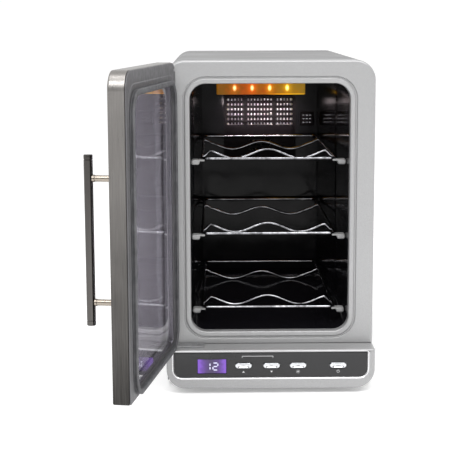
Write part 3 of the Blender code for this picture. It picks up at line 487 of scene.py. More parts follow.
def board_green(name):
    """Printed circuit board: solder mask over straight copper tracks."""
    f = Finish(name, Coat_Weight=0.3)
    tracks = f.add("ShaderNodeTexBrick")
    tracks.inputs["Scale"].default_value = 140.0
    tracks.inputs["Mortar Size"].default_value = 0.012
    tracks.inputs["Color1"].default_value = (0.015, 0.10, 0.04, 1.0)
    tracks.inputs["Color2"].default_value = (0.02, 0.13, 0.05, 1.0)
    tracks.inputs["Mortar"].default_value = (0.08, 0.26, 0.10, 1.0)
    turn = f.add("ShaderNodeMapping")
    turn.inputs["Rotation"].default_value = (math.radians(90.0), 0.0, 0.0)
    f.join(f.where, turn.inputs["Vector"])
    f.join(turn.outputs["Vector"], tracks.inputs["Vector"])
    f.colour(tracks.outputs["Color"])
    f.rough(f.scaled(f.noise(90.0, 3.0), 0.3, 0.5))
    return f.relief((tracks.outputs["Fac"], 0.2, 0.1 * MM))


def foam(name):
    f = Finish(name, roughness=0.9)
    f.colour(f.ramp(f.noise(50.0, 5.0), ((0.3, (0.62, 0.55, 0.36)), (0.7, (0.82, 0.76, 0.58)))))
    return f.relief((f.cells(700.0), 0.6, 0.6 * MM))


def cold_fin(name):
    """Cast fins with painted light: bright at their tips as a painted highlight and darker with depth as
    painted shade between the fins.
    """
    f = Finish(name, metallic=0.2)
    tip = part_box("cold_sink")[0].y
    # painted highlight and shade: the colour runs from near white at the fin tips to near black 5 mm deeper
    inward = f.scaled(f.axis("Y"), 0.0, 1.0, tip, tip + 5.0 * MM)
    painted_shade_depth = f.maths("ADD", inward, f.scaled(f.noise(300.0, 3.0), -0.1, 0.1))
    f.colour(f.ramp(painted_shade_depth, ((0.05, (0.95, 0.90, 0.92)), (0.3, (0.30, 0.27, 0.28)),
                            (1.0, (0.02, 0.018, 0.02)))))
    f.rough(f.scaled(f.noise(400.0, 3.0), 0.35, 0.55))
    return f.relief((f.noise(1500.0, 2.0), 0.06, 0.1 * MM))


def smoked_glass(name, tint):
    """Dark tinted pane with faint smears that break up its reflections."""
    f = Finish(name, IOR=1.58, Transmission_Weight=1.0)
    f.colour(f.ramp(f.noise(7.0, 3.0), around(tint, 0.03)))
    f.rough(f.scaled(f.noise(14.0, 5.0, 0.6, (1.0, 1.0, 0.35)), 0.012, 0.05))
    return f.relief((f.noise(6.0, 2.0), 0.03, 0.5 * MM))


def nearness(f, x, z, reach, tall=1.0):
    """1 at a point of the piece's front, falling to 0 at reach around it; tall stretches it upward."""
    dx = f.maths("SUBTRACT", f.axis("X"), x)
    dz = f.maths("DIVIDE", f.maths("SUBTRACT", f.axis("Z"), z), tall)
    away = f.maths("SQRT", f.maths("ADD", f.maths("MULTIPLY", dx, dx), f.maths("MULTIPLY", dz, dz)))
    return f.scaled(away, 1.0, 0.0, 0.0, reach)


def nearest(f, spots, reach, tall, power):
    best = None
    for x, z in spots:
        spot = f.maths("POWER", nearness(f, x, z, reach, tall), power)
        best = spot if best is None else f.maths("MAXIMUM", best, spot)
    return best


def amber(name, lamps):
    """Translucent cover lit from behind: orange at one end, golden at the other, hottest by each lamp."""
    f = Finish(name, roughness=0.3, Specular_IOR_Level=0.12)
    across = f.scaled(f.axis("X"), 0.0, 1.0, LIGHT_LOW.x, LIGHT_HIGH.x)
    mottled = f.maths("ADD", across, f.scaled(f.noise(110.0, 5.0, 0.6), -0.14, 0.14))
    f.colour(f.ramp(mottled, ((0.0, (0.35, 0.13, 0.02)), (0.45, (0.45, 0.14, 0.015)),
                              (1.0, (0.50, 0.26, 0.04)))))
    glow = f.ramp(mottled, ((0.0, (0.40, 0.17, 0.01)), (0.16, (0.52, 0.15, 0.005)),
                            (0.34, (0.95, 0.13, 0.004)), (0.62, (0.80, 0.24, 0.002)),
                            (0.82, (0.78, 0.38, 0.004)), (1.0, (0.55, 0.30, 0.02))))
    core = nearest(f, lamps, 3.6 * MM, 1.7, 1.2)
    halo = nearest(f, lamps, 11.0 * MM, 1.3, 1.6)
    tint = f.add("ShaderNodeMix", data_type="RGBA")
    f.join(core, tint.inputs[0])
    f.join(glow, tint.inputs[6])
    f.join(f.ramp(mottled, ((0.2, (1.0, 0.60, 0.28)), (0.8, (1.0, 0.84, 0.26)))), tint.inputs[7])
    f.join(tint.outputs[2], f.shader.inputs["Emission Color"])
    rim = f.scaled(f.axis("Z"), 1.3, 0.0, LIGHT_LOW.z + 0.6 * MM, LIGHT_LOW.z + 1.5 * MM)
    edge = f.maths("MULTIPLY", rim, f.scaled(across, 0.0, 1.0, 0.55, 0.72))
    base = f.maths("ADD", f.scaled(halo, 0.36, 1.1, 0.0, 1.0), edge)
    lit = f.maths("ADD", base, f.maths("MULTIPLY", core, 3.0))
    f.join(lit, f.shader.inputs["Emission Strength"])
    return f.relief((f.noise(260.0, 3.0, 0.5, (1.0, 1.0, 0.1)), 0.3, 0.4 * MM))


def lamp_lens(name):
    """Lit epoxy lens: white-hot in the middle, orange around it."""
    f = Finish(name, roughness=0.2)
    f.colour(f.ramp(f.noise(500.0, 2.0), around((0.9, 0.45, 0.15), 0.1)))
    warm = f.ramp(f.noise(300.0, 2.0), ((0.3, (1.0, 0.55, 0.12)), (0.7, (1.0, 0.72, 0.25))))
    f.join(warm, f.shader.inputs["Emission Color"])
    f.shader.inputs["Emission Strength"].default_value = 5.0
    return f


def display_lens(name):
    """Violet backlit display: brightest at its two ends, a fine cell grid across it."""
    f = Finish(name, roughness=0.16, Specular_IOR_Level=0.2)
    middle = placed("display_window")[2]
    half = (DISPLAY_HIGH.x - DISPLAY_LOW.x) / 2.0
    out = f.maths("ABSOLUTE", f.maths("SUBTRACT", f.axis("X"), middle))
    share = f.scaled(out, 0.0, 1.0, 0.0, half)
    uneven = f.maths("ADD", share, f.scaled(f.noise(160.0, 3.0), -0.1, 0.1))
    f.colour(f.ramp(uneven, ((0.0, (0.03, 0.02, 0.05)), (1.0, (0.06, 0.03, 0.14)))))
    glow = f.ramp(uneven, ((0.0, (0.085, 0.07, 0.12)), (0.45, (0.10, 0.065, 0.18)),
                           (0.66, (0.16, 0.08, 0.36)), (0.85, (0.26, 0.12, 0.62))))
    f.join(glow, f.shader.inputs["Emission Color"])
    grid = f.add("ShaderNodeTexChecker")
    grid.inputs["Scale"].default_value = 1800.0
    f.join(f.where, grid.inputs["Vector"])
    f.join(f.scaled(grid.outputs["Fac"], 0.7, 0.9, 0.0, 1.0), f.shader.inputs["Emission Strength"])
    return f


def lit_digit(name):
    f = Finish(name, roughness=0.3)
    f.colour(f.ramp(f.noise(400.0, 2.0), around((0.5, 0.5, 0.7), 0.1)))
    f.join(f.ramp(f.noise(300.0, 2.0), ((0.3, (0.34, 0.33, 0.38)), (0.7, (0.50, 0.48, 0.55)))),
           f.shader.inputs["Emission Color"])
    f.shader.inputs["Emission Strength"].default_value = 0.6
    return f


def palette():
    spots = [(placed(node)[2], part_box(node)[0].z - 2.0 * MM) for node in LAMPS]
    made = {
        "silver": paint("silver_lacquer", (0.335, 0.335, 0.338), 0.34, 0.16),
        "trim": paint("bright_trim", (0.86, 0.86, 0.87), 0.2, 0.04, 0.6),
        "sheet": paint("silver_sheet_lacquer", (0.085, 0.085, 0.087), 0.44, 0.18),
        "liner": gloss_black("chamber_gloss", (0.0042, 0.0038, 0.0052), 0.11, 0.11),
        "black": moulded("black_moulding", (0.016, 0.016, 0.017), 0.5, 1500.0),
        "grille": moulded("grille_moulding", (0.004, 0.003, 0.004), 0.5, 1500.0, Specular_IOR_Level=0.06),
        # fins with a painted highlight at their tips and painted shade with depth
        "cold_fin": cold_fin("cold_fin_aluminium"),
        "grey": moulded("grey_moulding", (0.085, 0.083, 0.088), 0.42, 1400.0, 0.08),
        "peg": moulded("peg_plastic", (0.33, 0.33, 0.33), 0.35, 900.0, 0.05),
        "nylon": moulded("bush_nylon", (0.60, 0.59, 0.55), 0.4, 900.0, 0.05),
        "fascia": gloss_black("fascia_gloss", (0.020, 0.020, 0.021), 0.2, 0.38),
        "rubber": rubber("black_rubber", (0.012, 0.012, 0.013)),
        "seal": rubber("seal_rubber", (0.085, 0.085, 0.090)),
        "foam": foam("rigid_foam"),
        "board": board_green("solder_mask"),
        "ceramic": moulded("ceramic", (0.7, 0.7, 0.68), 0.5, 1200.0, 0.05),
        "aluminium": brushed("milled_aluminium", (0.62, 0.62, 0.63), 0.34, (1.0, 1.0, 0.05)),
        "chrome": polished("chrome_plate", (0.66, 0.67, 0.69), 0.10),
        "wire": polished("chrome_wire_plate", (0.27, 0.27, 0.285), 0.12, 0.97),
        "hinge": brushed("plated_steel", (0.50, 0.50, 0.51), 0.30, (0.08, 1.0, 1.0)),
        # door steel with painted shade towards its foot and a painted highlight near its top
        "door_steel": door_steel("door_steel", (0.215, 0.205, 0.196), 0.34),
        "handle": brushed("dark_polished_steel", (0.085, 0.08, 0.076), 0.11, (1.0, 1.0, 0.03), 0.1),
        "post": brushed("champagne_steel", (0.30, 0.265, 0.225), 0.22, (1.0, 0.05, 1.0), 0.12),
        "glass": smoked_glass("smoked_glass", (0.68, 0.66, 0.71)),
        "amber": amber("amber_cover", spots),
        "lamp": lamp_lens("lit_lens"),
        "display": display_lens("violet_display"),
        "digit": lit_digit("display_digits"),
        "print": moulded("pad_print", (0.55, 0.55, 0.56), 0.45, 1500.0, 0.04),
    }
    return {key: finish.material for key, finish in made.items()}


LOOK = palette()


def dress(obj, look, body, replaces=()):
    """Gives a piece its finish, its body and the frame parts it stands for."""
    obj.data.materials.clear()
    obj.data.materials.append(LOOK[look])
    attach(obj, body)
    if replaces:
        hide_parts(*replaces)


def refinish(look, *nodes):
    """Keeps parts of the frame as they are, with a richer finish."""
    for name in nodes:
        mesh = frame["nodes"][name].data
        mesh.materials.clear()
        mesh.materials.append(LOOK[look])


def hang(obj):
    """Puts a door piece, drawn in hinge coordinates, on the standing-open door."""
    obj.data.transform(SEAT)
    return obj


# ---------------------------------------------------------------- cabinet

def cabinet_outline(inset, low):
    r = SHELL_R - inset
    return rounded(-HALF_W + inset, HALF_W - inset, low, TOP_Z - inset, (0.4 * MM, 0.4 * MM, r, r), 14)


def shell():
    """Painted steel wrap with a folded front hem and a rolled rear edge."""
    low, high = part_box("outer_wrap")
    sheet = 1.2 * MM
    turn = 15
    profile = eased([(0.0, low.y, 0.5 * MM), (0.0, high.y, 1.0 * MM), (sheet, high.y, 0.3 * MM),
                     (sheet, low.y, 0.3 * MM)], 3)
    bm = bmesh.new()
    rows = []
    for inset, y in profile:
        points = cabinet_outline(inset, low.z)
        path = [(HALF_W - inset, low.z)] + points[2 * turn:] + [(-HALF_W + inset, low.z)]
        rows.append([bm.verts.new(p) for p in upright(path, y)])
    rows.append(rows[0])
    for a, b in zip(rows, rows[1:]):
        for i in range(len(a) - 1):
            bm.faces.new((a[i], a[i + 1], b[i + 1], b[i]))
    ends = rows[:-1]
    bm.faces.new([row[0] for row in ends])
    bm.faces.new([row[-1] for row in ends])
    dress(solid("cabinet_shell", bm), "sheet", "cabinet", ["outer_wrap"])


def front_bezel():
    """Moulded front frame: rolled outer edge, gasket groove and a rounded ridge round the mouth."""
    seam = FRAME_LOW.z
    outer = (0.5 * MM, 0.5 * MM, SHELL_R, SHELL_R)
    steps = 14

    def edge(inset, d):
        radii = tuple(max(r - inset, 0.3 * MM) for r in outer)
        low = seam + inset * 0.2
        return upright(rounded(-HALF_W + inset, HALF_W - inset, low, TOP_Z - inset, radii, steps), depth(d))

    def mouth(grow, d):
        return upright(rounded(-MOUTH_HALF - grow, MOUTH_HALF + grow, MOUTH_LOW - grow, MOUTH_HIGH + grow,
                               MOUTH_R + grow, steps), depth(d))

    outside = eased([(0.0, FRAME_T, 0.0), (0.0, 0.0, 3.2 * MM), (8.0 * MM, 0.0, 0.0)], 6, closed=False)
    inside = eased([(14.0 * MM, 0.0, 0.0), (9.4 * MM, 0.0, 0.8 * MM), (8.9 * MM, 2.4 * MM, 0.7 * MM),
                    (6.9 * MM, 2.4 * MM, 0.7 * MM), (6.3 * MM, 0.0, 1.1 * MM), (0.0, 0.0, 2.6 * MM),
                    (0.0, FRAME_T, 0.0)], 4, closed=False)
    loops = [edge(inset, d) for inset, d in outside[:-1]] + [mouth(grow, d) for grow, d in inside[1:]]
    dress(skin("front_bezel", loops, ring=True), "silver", "cabinet", ["front_frame"])


def chamber_loop(grow, d, inset=0.0):
    """Chamber outline at a depth; grow is the wall added outside, inset closes the rear fillet."""
    share = d / CHAMBER_D
    half = MOUTH_HALF - LINER_DRAFT * share + grow - inset
    low = MOUTH_LOW + LINER_DRAFT * share - grow + inset
    high = MOUTH_HIGH - LINER_DRAFT * share + grow - inset
    return upright(rounded(-half, half, low, high, max(MOUTH_R + grow - inset, 6.0 * MM), 14), depth(d))


def port_loop(d):
    return upright(rounded(GRILLE_LOW.x + PORT_INSET, GRILLE_HIGH.x - PORT_INSET, GRILLE_LOW.z + PORT_INSET,
                           GRILLE_HIGH.z - PORT_INSET, 1.0 * MM, 14), depth(d))


LEVELS = ("lower", "middle", "upper")


def rod_level(level):
    """Height of a shelf's rods, read at its front rod."""
    name = "shelf_" + level
    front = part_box(name)[0].y + 1.0 * MM
    return max(v.co.z for v in frame["nodes"][name].data.vertices if v.co.y < front) - WIRE_R


def shelf_ledges():
    """Moulded ribs, one at each end of a shelf's rear, drawn as rounded blocks in the chamber wall."""
    bm = bmesh.new()
    for level in LEVELS:
        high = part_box("shelf_" + level)[1]
        top = rod_level(level) - WIRE_R - 0.3 * MM
        for side in (-1.0, 1.0):
            tip = side * (high.x - WIRE_R - 3.2 * MM)
            root = side * (MOUTH_HALF - LINER_DRAFT + 0.75 * MM)
            block(bm, (min(tip, root), high.y - WIRE_R - 26.0 * MM, top - 6.0 * MM),
                  (max(tip, root), high.y - WIRE_R - 12.0 * MM, top), 1.2 * MM)
    return solid("chamber_ledges", bm)


def chamber():
    """Vacuum-formed liner: flange, stepped walls, rounded rear corner and the opening behind the grille."""
    flange_d = FRAME_T + 0.3 * MM
    front = flange_d + LINER_T
    back = CHAMBER_D + LINER_T
    f = REAR_FILLET
    turn = [(f * (1.0 - math.sin(a)), CHAMBER_D - f * (1.0 - math.cos(a)))
            for a in (0.5 * math.pi * k / 8 for k in range(9))]
    walls = ((0.0, flange_d), (0.0, STEP_D - 2.5 * MM), (-0.2 * MM, STEP_D - 1.5 * MM), (-0.7 * MM, STEP_D),
             (STEP_GROW, STEP_D + 1.5 * MM))
    outside = ((LINER_T, back, f), (LINER_T, back - 2.6 * MM, 2.6 * MM), (LINER_T, back - f, 0.0),
               (LINER_T, front, 0.0), (14.0 * MM, front, 0.0), (14.0 * MM, flange_d, 0.0))
    loops = [chamber_loop(grow, d) for grow, d in walls]
    loops += [chamber_loop(STEP_GROW, d, f - inset) for inset, d in turn[::-1]]
    loops += [port_loop(CHAMBER_D), port_loop(back)]
    loops += [chamber_loop(grow, d, inset) for grow, d, inset in outside]
    dress(skin("chamber_liner", loops, ring=True), "liner", "cabinet", ["liner"])
    dress(shelf_ledges(), "liner", "cabinet")


def base():
    """Folded base tray with a pressed pad; the edges are softened."""
    low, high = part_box("base_pan")
    bm = bmesh.new()
    sheet = 1.2 * MM
    level = low.z + 1.0 * MM
    section = eased([(low.x, level, 0.8 * MM), (high.x, level, 0.8 * MM), (high.x, high.z, 0.2 * MM),
                     (high.x - sheet, high.z, 0.2 * MM), (high.x - sheet, level + sheet, 0.8 * MM),
                     (low.x + sheet, level + sheet, 0.8 * MM), (low.x + sheet, high.z, 0.2 * MM),
                     (low.x, high.z, 0.2 * MM)], 3)
    skin_rows(bm, [upright(section, low.y), upright(section, high.y)])
    edge = 47.0 * MM
    pad = [flat(rounded(-HALF_W + edge + s, HALF_W - edge - s, depth(edge) + s, low.y + 435.0 * MM - edge - s,
                        8.0 * MM, 8), z)
           for s, z in ((-1.2 * MM, level + 0.2 * MM), (-0.4 * MM, low.z + 0.3 * MM), (0.0, low.z))]
    skin_rows(bm, pad)
    dress(solid("base_tray", bm), "sheet", "cabinet", ["base_pan"])


def standing(node):
    """Foot of an upright round part, its radius and its height."""
    low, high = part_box(node)
    return ((low.x + high.x) / 2.0, (low.y + high.y) / 2.0, low.z), (high.x - low.x) / 2.0, high.z - low.z


def feet():
    """Rubber feet with a rounded tread edge and a moulded groove."""
    for name in ("foot_front_left", "foot_front_right", "foot_rear_left", "foot_rear_right"):
        centre, r, h = standing(name)
        profile = eased([(r * 0.55, 0.8 * MM, 0.0), (r * 0.62, 0.0, 0.3 * MM), (r - 0.6 * MM, 0.0, 1.0 * MM),
                         (r - 0.2 * MM, h * 0.42, 0.4 * MM), (r - 0.9 * MM, h * 0.5, 0.3 * MM),
                         (r, h * 0.6, 0.4 * MM), (r, h, 0.0)], 3, closed=False)
        dress(turned("cushion_" + name, centre, (0.0, 0.0, 1.0), profile, 48), "rubber", "cabinet",
              [name])


def pegs():
    """Shelf supports: a domed lug on the wall and a thin ledge that reaches under the side rod."""
    for level in LEVELS:
        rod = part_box("shelf_" + level)[1].x
        for side, sign in (("left", -1.0), ("right", 1.0)):
            name = "shelf_peg_%s_%s" % (level, side)
            low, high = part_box(name)
            root, tip = (low.x, high.x) if sign < 0.0 else (high.x, low.x)
            nose = sign * (rod + 1.4 * MM)
            x0, x1 = sorted((root, nose))
            profile = eased([(3.0 * MM, low.y, 0.0), (0.0, low.y, 2.8 * MM), (0.0, high.y, 0.5 * MM)], 6,
                            closed=False)
            lug = [upright(rounded(x0 + s * 0.7, x1 - s * 0.7, low.z + s * 0.9, high.z - s * 0.6,
                                   max(3.0 * MM - s * 0.6, 0.6 * MM), 8), y) for s, y in profile]
            x0, x1 = sorted((nose + sign * 1.0 * MM, tip))
            ledge = [upright(rounded(x0, x1, high.z - 2.2 * MM, high.z, 0.7 * MM, 5), y)
                     for y in (low.y + 1.0 * MM, high.y - 0.5 * MM)]
            bm = bmesh.new()
            for loops in (lug, ledge):
                skin_rows(bm, loops)
            dress(solid("lug_" + name[10:], bm), "peg", "cabinet", [name])


# ---------------------------------------------------------------- control panel

def control_panel():
    """Housing of the control panel: rolled outer edge and a crisp raised rim round the fascia."""
    face = PANEL_FACE_D
    back = PANEL_HIGH.y - FRONT_Y
    top = PANEL_HIGH.z

    def outer(inset, d):
        r = max(PANEL_R - inset, 1.0 * MM)
        radii = (r, r, 1.6 * MM, 1.6 * MM)
        return upright(rounded(-HALF_W + inset, HALF_W - inset, inset, top - inset, radii, 14), depth(d))

    def inner(grow, d):
        r = FASCIA_R + grow
        return upright(rounded(FASCIA_LOW.x - 0.3 * MM - grow, FASCIA_HIGH.x + 0.3 * MM + grow,
                               FASCIA_LOW.z - 0.3 * MM - grow, FASCIA_HIGH.z + 0.3 * MM + grow,
                               (r, r, 1.5 * MM + grow, 1.5 * MM + grow), 14), depth(d))

    floor = face + 2.7 * MM
    outside = eased([(0.0, back, 0.0), (0.0, face, 3.4 * MM), (3.0 * MM, face, 0.0)], 6, closed=False)
    rim = eased([(4.0 * MM, face, 0.0), (2.1 * MM, face, 0.6 * MM), (0.0, face + 1.7 * MM, 0.6 * MM),
                 (0.0, floor, 0.0), (-3.5 * MM, floor, 0.0), (-3.5 * MM, floor + 2.0 * MM, 0.0)], 4,
                closed=False)[1:]
    wall = 2.2 * MM
    loops = [outer(inset, d) for inset, d in outside[:-1]] + [inner(grow, d) for grow, d in rim]
    loops += [outer(wall, floor + 2.0 * MM), outer(wall, back)]
    dress(skin("control_panel_housing", loops, ring=True), "silver", "cabinet",
          ["control_housing"])
    trim = [(2.5 * MM, face + 0.1 * MM), (2.3 * MM, face - 0.02 * MM), (1.7 * MM, face - 0.02 * MM),
            (0.3 * MM, face + 1.1 * MM), (0.3 * MM, face + 1.8 * MM), (2.5 * MM, face + 1.8 * MM)]
    dress(skin("fascia_trim", [inner(grow, d) for grow, d in trim], ring=True), "trim", "cabinet")


KEY_BODIES = {"button_up": "up_key", "button_down": "down_key", "button_light": "light_key",
              "button_power": "power_key"}


def button_hole(name):
    """Centre and half sizes of a key's cap."""
    low, high, cx, cz = placed(name)
    return cx, cz, (high.x - low.x) / 2.0 - 1.5 * MM, (high.z - low.z) / 2.0 - 1.5 * MM


def oval(cx, cz, hw, hh, steps=10):
    return rounded(cx - hw, cx + hw, cz - hh, cz + hh, hh - 0.02 * MM, steps)


def fascia():
    """Gloss black fascia with softened edges, key openings and the display opening."""
    low, high = FASCIA_LOW, FASCIA_HIGH
    ease = 0.9 * MM
    r = FASCIA_R - 0.3 * MM
    gap = 0.3 * MM
    bm = bmesh.new()

    def edge(inset):
        rr = r - inset
        return rounded(low.x + inset, high.x - inset, low.z + inset, high.z - inset,
                       (rr, rr, 1.2 * MM - inset * 0.5, 1.2 * MM - inset * 0.5), 10)

    def openings(grow):
        loops = [oval(cx, cz, hw + gap + grow, hh + gap + grow)
                 for cx, cz, hw, hh in map(button_hole, KEY_BODIES)]
        loops.append(rounded(DISPLAY_LOW.x - gap - grow, DISPLAY_HIGH.x + gap + grow,
                             DISPLAY_LOW.z - gap - grow, DISPLAY_HIGH.z + gap + grow, 1.0 * MM, 4))
        return loops

    rows = []
    for s, y in ((ease, low.y), (ease * 0.3, low.y + ease * 0.3), (0.0, low.y + ease), (0.0, high.y)):
        rows.append([[bm.verts.new(p) for p in upright(loop, y)] for loop in [edge(s)] + openings(s)])
    for near, far in zip(rows, rows[1:]):
        for a, b in zip(near, far):
            bridge(bm, a, b)
    for row in (rows[0], rows[-1]):
        fill(bm, row)
    dress(solid("gloss_fascia", bm, 30.0), "fascia", "cabinet", ["control_fascia"])


def keys():
    """Polished oval keys: a domed cap with a shallow finger dish in its lower half."""
    for name, body in KEY_BODIES.items():
        low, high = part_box(name)
        cx, cz, hw, hh = button_hole(name)
        face = low.y
        flange_y = high.y - 1.6 * MM
        bm = bmesh.new()
        profile = [(0.04, 0.95), (0.22, 0.92), (0.42, 0.78), (0.58, 0.55), (0.72, 0.22), (0.84, 0.0),
                   (0.93, 0.10), (1.0, 0.5)]
        loops = [upright(oval(cx, cz + hh * 0.16 * (1.0 - share), hw * share, hh * share),
                         face + 1.3 * MM * dip) for share, dip in profile]
        for grow, y in ((0.0, flange_y), (1.5 * MM, flange_y), (1.5 * MM, high.y)):
            loops.append(upright(oval(cx, cz, hw + grow, hh + grow), y))
        skin_rows(bm, loops)
        dress(solid("key_" + name[7:], bm, 60.0), "chrome", body, [name])


def bar(bm, x0, x1, z0, z1, y0, y1):
    """Thin printed or moulded bar, its corners rounded."""
    outline = rounded(x0, x1, z0, z1, min(x1 - x0, z1 - z0) * 0.3, 3)
    skin_rows(bm, [upright(outline, y0), upright(outline, y1)])


SEGMENTS = {"1": "bc", "2": "abged"}


def display():
    """Display lens with two generic seven-segment digits."""
    low, high, middle, cz = placed("display_window")
    lens_y = low.y + 0.15 * MM
    profile = eased([(0.8 * MM, lens_y, 0.0), (0.0, lens_y, 0.4 * MM), (0.0, high.y, 0.0)], 3, closed=False)
    lens = skin("display_lens",
                [upright(rounded(low.x + s, high.x - s, low.z + s, high.z - s, 0.8 * MM, 4), y)
                 for s, y in profile])
    dress(lens, "display", "cabinet", ["display_window"])
    bm = bmesh.new()
    tall, wide, thick = 4.6 * MM, 6.2 * MM, 1.5 * MM
    for digit, cx in (("1", middle - 5.6 * MM), ("2", middle + 4.4 * MM)):
        x0, x1 = cx - wide / 2.0, cx + wide / 2.0
        t = thick / 2.0
        strokes = {"a": (x0 + t, x1 - t, cz + tall - t, cz + tall + t),
                   "g": (x0 + t, x1 - t, cz - t, cz + t),
                   "d": (x0 + t, x1 - t, cz - tall - t, cz - tall + t),
                   "b": (x1 - t, x1 + t, cz + t, cz + tall - t),
                   "c": (x1 - t, x1 + t, cz - tall + t, cz - t),
                   "e": (x0 - t, x0 + t, cz - tall + t, cz - t)}
        for letter in SEGMENTS[digit]:
            sx0, sx1, sz0, sz1 = strokes[letter]
            bar(bm, sx0, sx1, sz0, sz1, low.y, lens_y + 0.1 * MM)
    dress(solid("display_figures", bm), "digit", "cabinet")


def ray(cx, cz, a, near, far, w):
    """Outline of a straight bar pointing away from a centre, 2w wide."""
    ux, uz = math.cos(a), math.sin(a)
    return [(cx + ux * r - uz * s, cz + uz * r + ux * s)
            for r, s in ((near, w), (near, -w), (far, -w), (far, w))]


def key_marks():
    """Generic pad-printed signs by the keys: up, down, lamp and on-off, and a rule over the first two."""
    y0, y1 = FASCIA_LOW.y - 0.05 * MM, FASCIA_LOW.y + 0.2 * MM
    bm = bmesh.new()
    up, down, lamp, power = (button_hole(name)[0] for name in KEY_BODIES)
    level = button_hole("button_up")[1]
    cz = level - 8.2 * MM

    def prism(points):
        skin_rows(bm, [upright(points, y0), upright(points, y1)])

    prism([(up - 1.6 * MM, cz - 1.1 * MM), (up + 1.6 * MM, cz - 1.1 * MM), (up, cz + 1.3 * MM)])
    prism([(down - 1.6 * MM, cz + 1.1 * MM), (down, cz - 1.3 * MM), (down + 1.6 * MM, cz + 1.1 * MM)])
    prism(circle(lamp, cz, 1.0 * MM, 16))
    for k in range(8):
        prism(ray(lamp, cz, math.pi * k / 4.0, 1.6 * MM, 2.5 * MM, 0.22 * MM))
    arc = [math.radians(125.0 + 290.0 * k / 16.0) for k in range(17)]
    ring = [(power + 1.9 * MM * math.cos(a), cz + 1.9 * MM * math.sin(a)) for a in arc]
    ring += [(power + 1.45 * MM * math.cos(a), cz + 1.45 * MM * math.sin(a)) for a in arc[::-1]]
    prism(ring)
    bar(bm, power - 0.25 * MM, power + 0.25 * MM, cz + 0.2 * MM, cz + 2.3 * MM, y0, y1)
    rule = level + 12.4 * MM
    bar(bm, up - 2.0 * MM, down + 2.0 * MM, rule - 0.3 * MM, rule + 0.3 * MM, y0, y1)
    bar(bm, up - 2.0 * MM, up - 1.4 * MM, rule - 2.0 * MM, rule, y0, y1)
    bar(bm, down + 1.4 * MM, down + 2.0 * MM, rule - 2.0 * MM, rule, y0, y1)
    dress(solid("key_signs", bm), "print", "cabinet")


# ---------------------------------------------------------------- light and cooling

def light_bar():
    """Amber cover: thin-walled tray with a rounded lower edge."""
    low, high = LIGHT_LOW, LIGHT_HIGH
    wall = 1.5 * MM
    r = 2.0 * MM
    profile = ((1.4 * MM, r * 0.6, low.z), (0.4 * MM, r, low.z + 0.4 * MM), (0.0, r, low.z + 1.4 * MM),
               (0.0, r, high.z), (wall, r * 0.4, high.z), (wall, r * 0.4, low.z + wall))
    loops = [flat(rounded(low.x + s, high.x - s, low.y + s, high.y - s, radius, 6), z)
             for s, radius, z in profile]
    dress(skin("amber_light_cover", loops), "amber", "cabinet", ["light_cover"])


def lamps():
    for name in LAMPS:
        low, high, cx, cz = placed(name)
        r = (high.x - low.x) / 2.0
        long = high.y - low.y
        profile = [(r, 0.0), (r, 0.8 * MM), (r - 0.4 * MM, 1.0 * MM), (r - 0.4 * MM, long - 2.6 * MM)]
        dome = r - 0.4 * MM
        profile += [(dome * math.cos(a), long - 2.6 * MM + 2.6 * MM * math.sin(a))
                    for a in (0.5 * math.pi * k / 6 for k in range(1, 6))]
        dress(turned("lamp_" + name[4:], (cx, high.y, cz), (0.0, -1.0, 0.0), profile, 28, 60.0), "lamp",
              "cabinet", [name])


def slotted(x0, x1, z, h):
    return rounded(x0, x1, z, z + h, h * 0.45, 4)


def grille():
    """Air grille: six rows of three rounded slots over a smaller intake."""
    low, high = GRILLE_LOW, GRILLE_HIGH
    first = placed("cold_sink")[3] - 19.7 * MM
    reach = high.x - 5.0 * MM
    rib = 4.0 * MM
    middle = 0.402 * reach
    columns = ((-reach, -middle - rib), (-middle, middle), (middle + rib, reach))
    holes = [slotted(x0, x1, first + row * 7.5 * MM, 3.2 * MM) for row in range(6) for x0, x1 in columns]
    cz = placed("inner_fan_frame")[3]
    holes += [slotted(-17.0 * MM, 17.0 * MM, cz - 14.0 * MM + row * 7.0 * MM, 3.0 * MM) for row in range(4)]
    outline = rounded(low.x, high.x, low.z, high.z, 2.0 * MM, 6)
    piece = plate("chamber_grille", outline, low.y, high.y, holes, 0.35 * MM)
    dress(piece, "grille", "cabinet", ["air_grille"])


def fins(name, node, count, fin, thick, tip_first):
    """Extruded heat sink with thin rounded fins on a base plate; tip_first puts the fins towards the door."""
    low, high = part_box(node)
    mid = placed(node)[2]
    near, far = (low.y, high.y) if tip_first else (high.y, low.y)
    toward = 1.0 if far > near else -1.0
    root = far - toward * thick
    half = (high.x - low.x) / 2.0
    pitch = (2.0 * half - fin) / (count - 1)
    points = [(mid - half, far), (mid + half, far)]
    for i in range(count):
        x1 = mid + half - i * pitch
        x0 = x1 - fin
        shoulder = near + toward * 0.5 * fin
        points += [(x1, root), (x1, shoulder), (x1 - fin * 0.25, near)]
        points += [(x0 + fin * 0.25, near), (x0, shoulder), (x0, root)]
    return skin(name, [flat(points, low.z), flat(points, high.z)])


def cooling():
    dress(fins("cold_fins", "cold_sink", 20, 1.3 * MM, 4.0 * MM, True), "cold_fin", "cabinet",
          ["cold_sink"])
    dress(fins("hot_fins", "hot_sink", 17, 1.4 * MM, 5.0 * MM, False), "aluminium", "cabinet",
          ["hot_sink"])
    refinish("ceramic", "peltier_module")


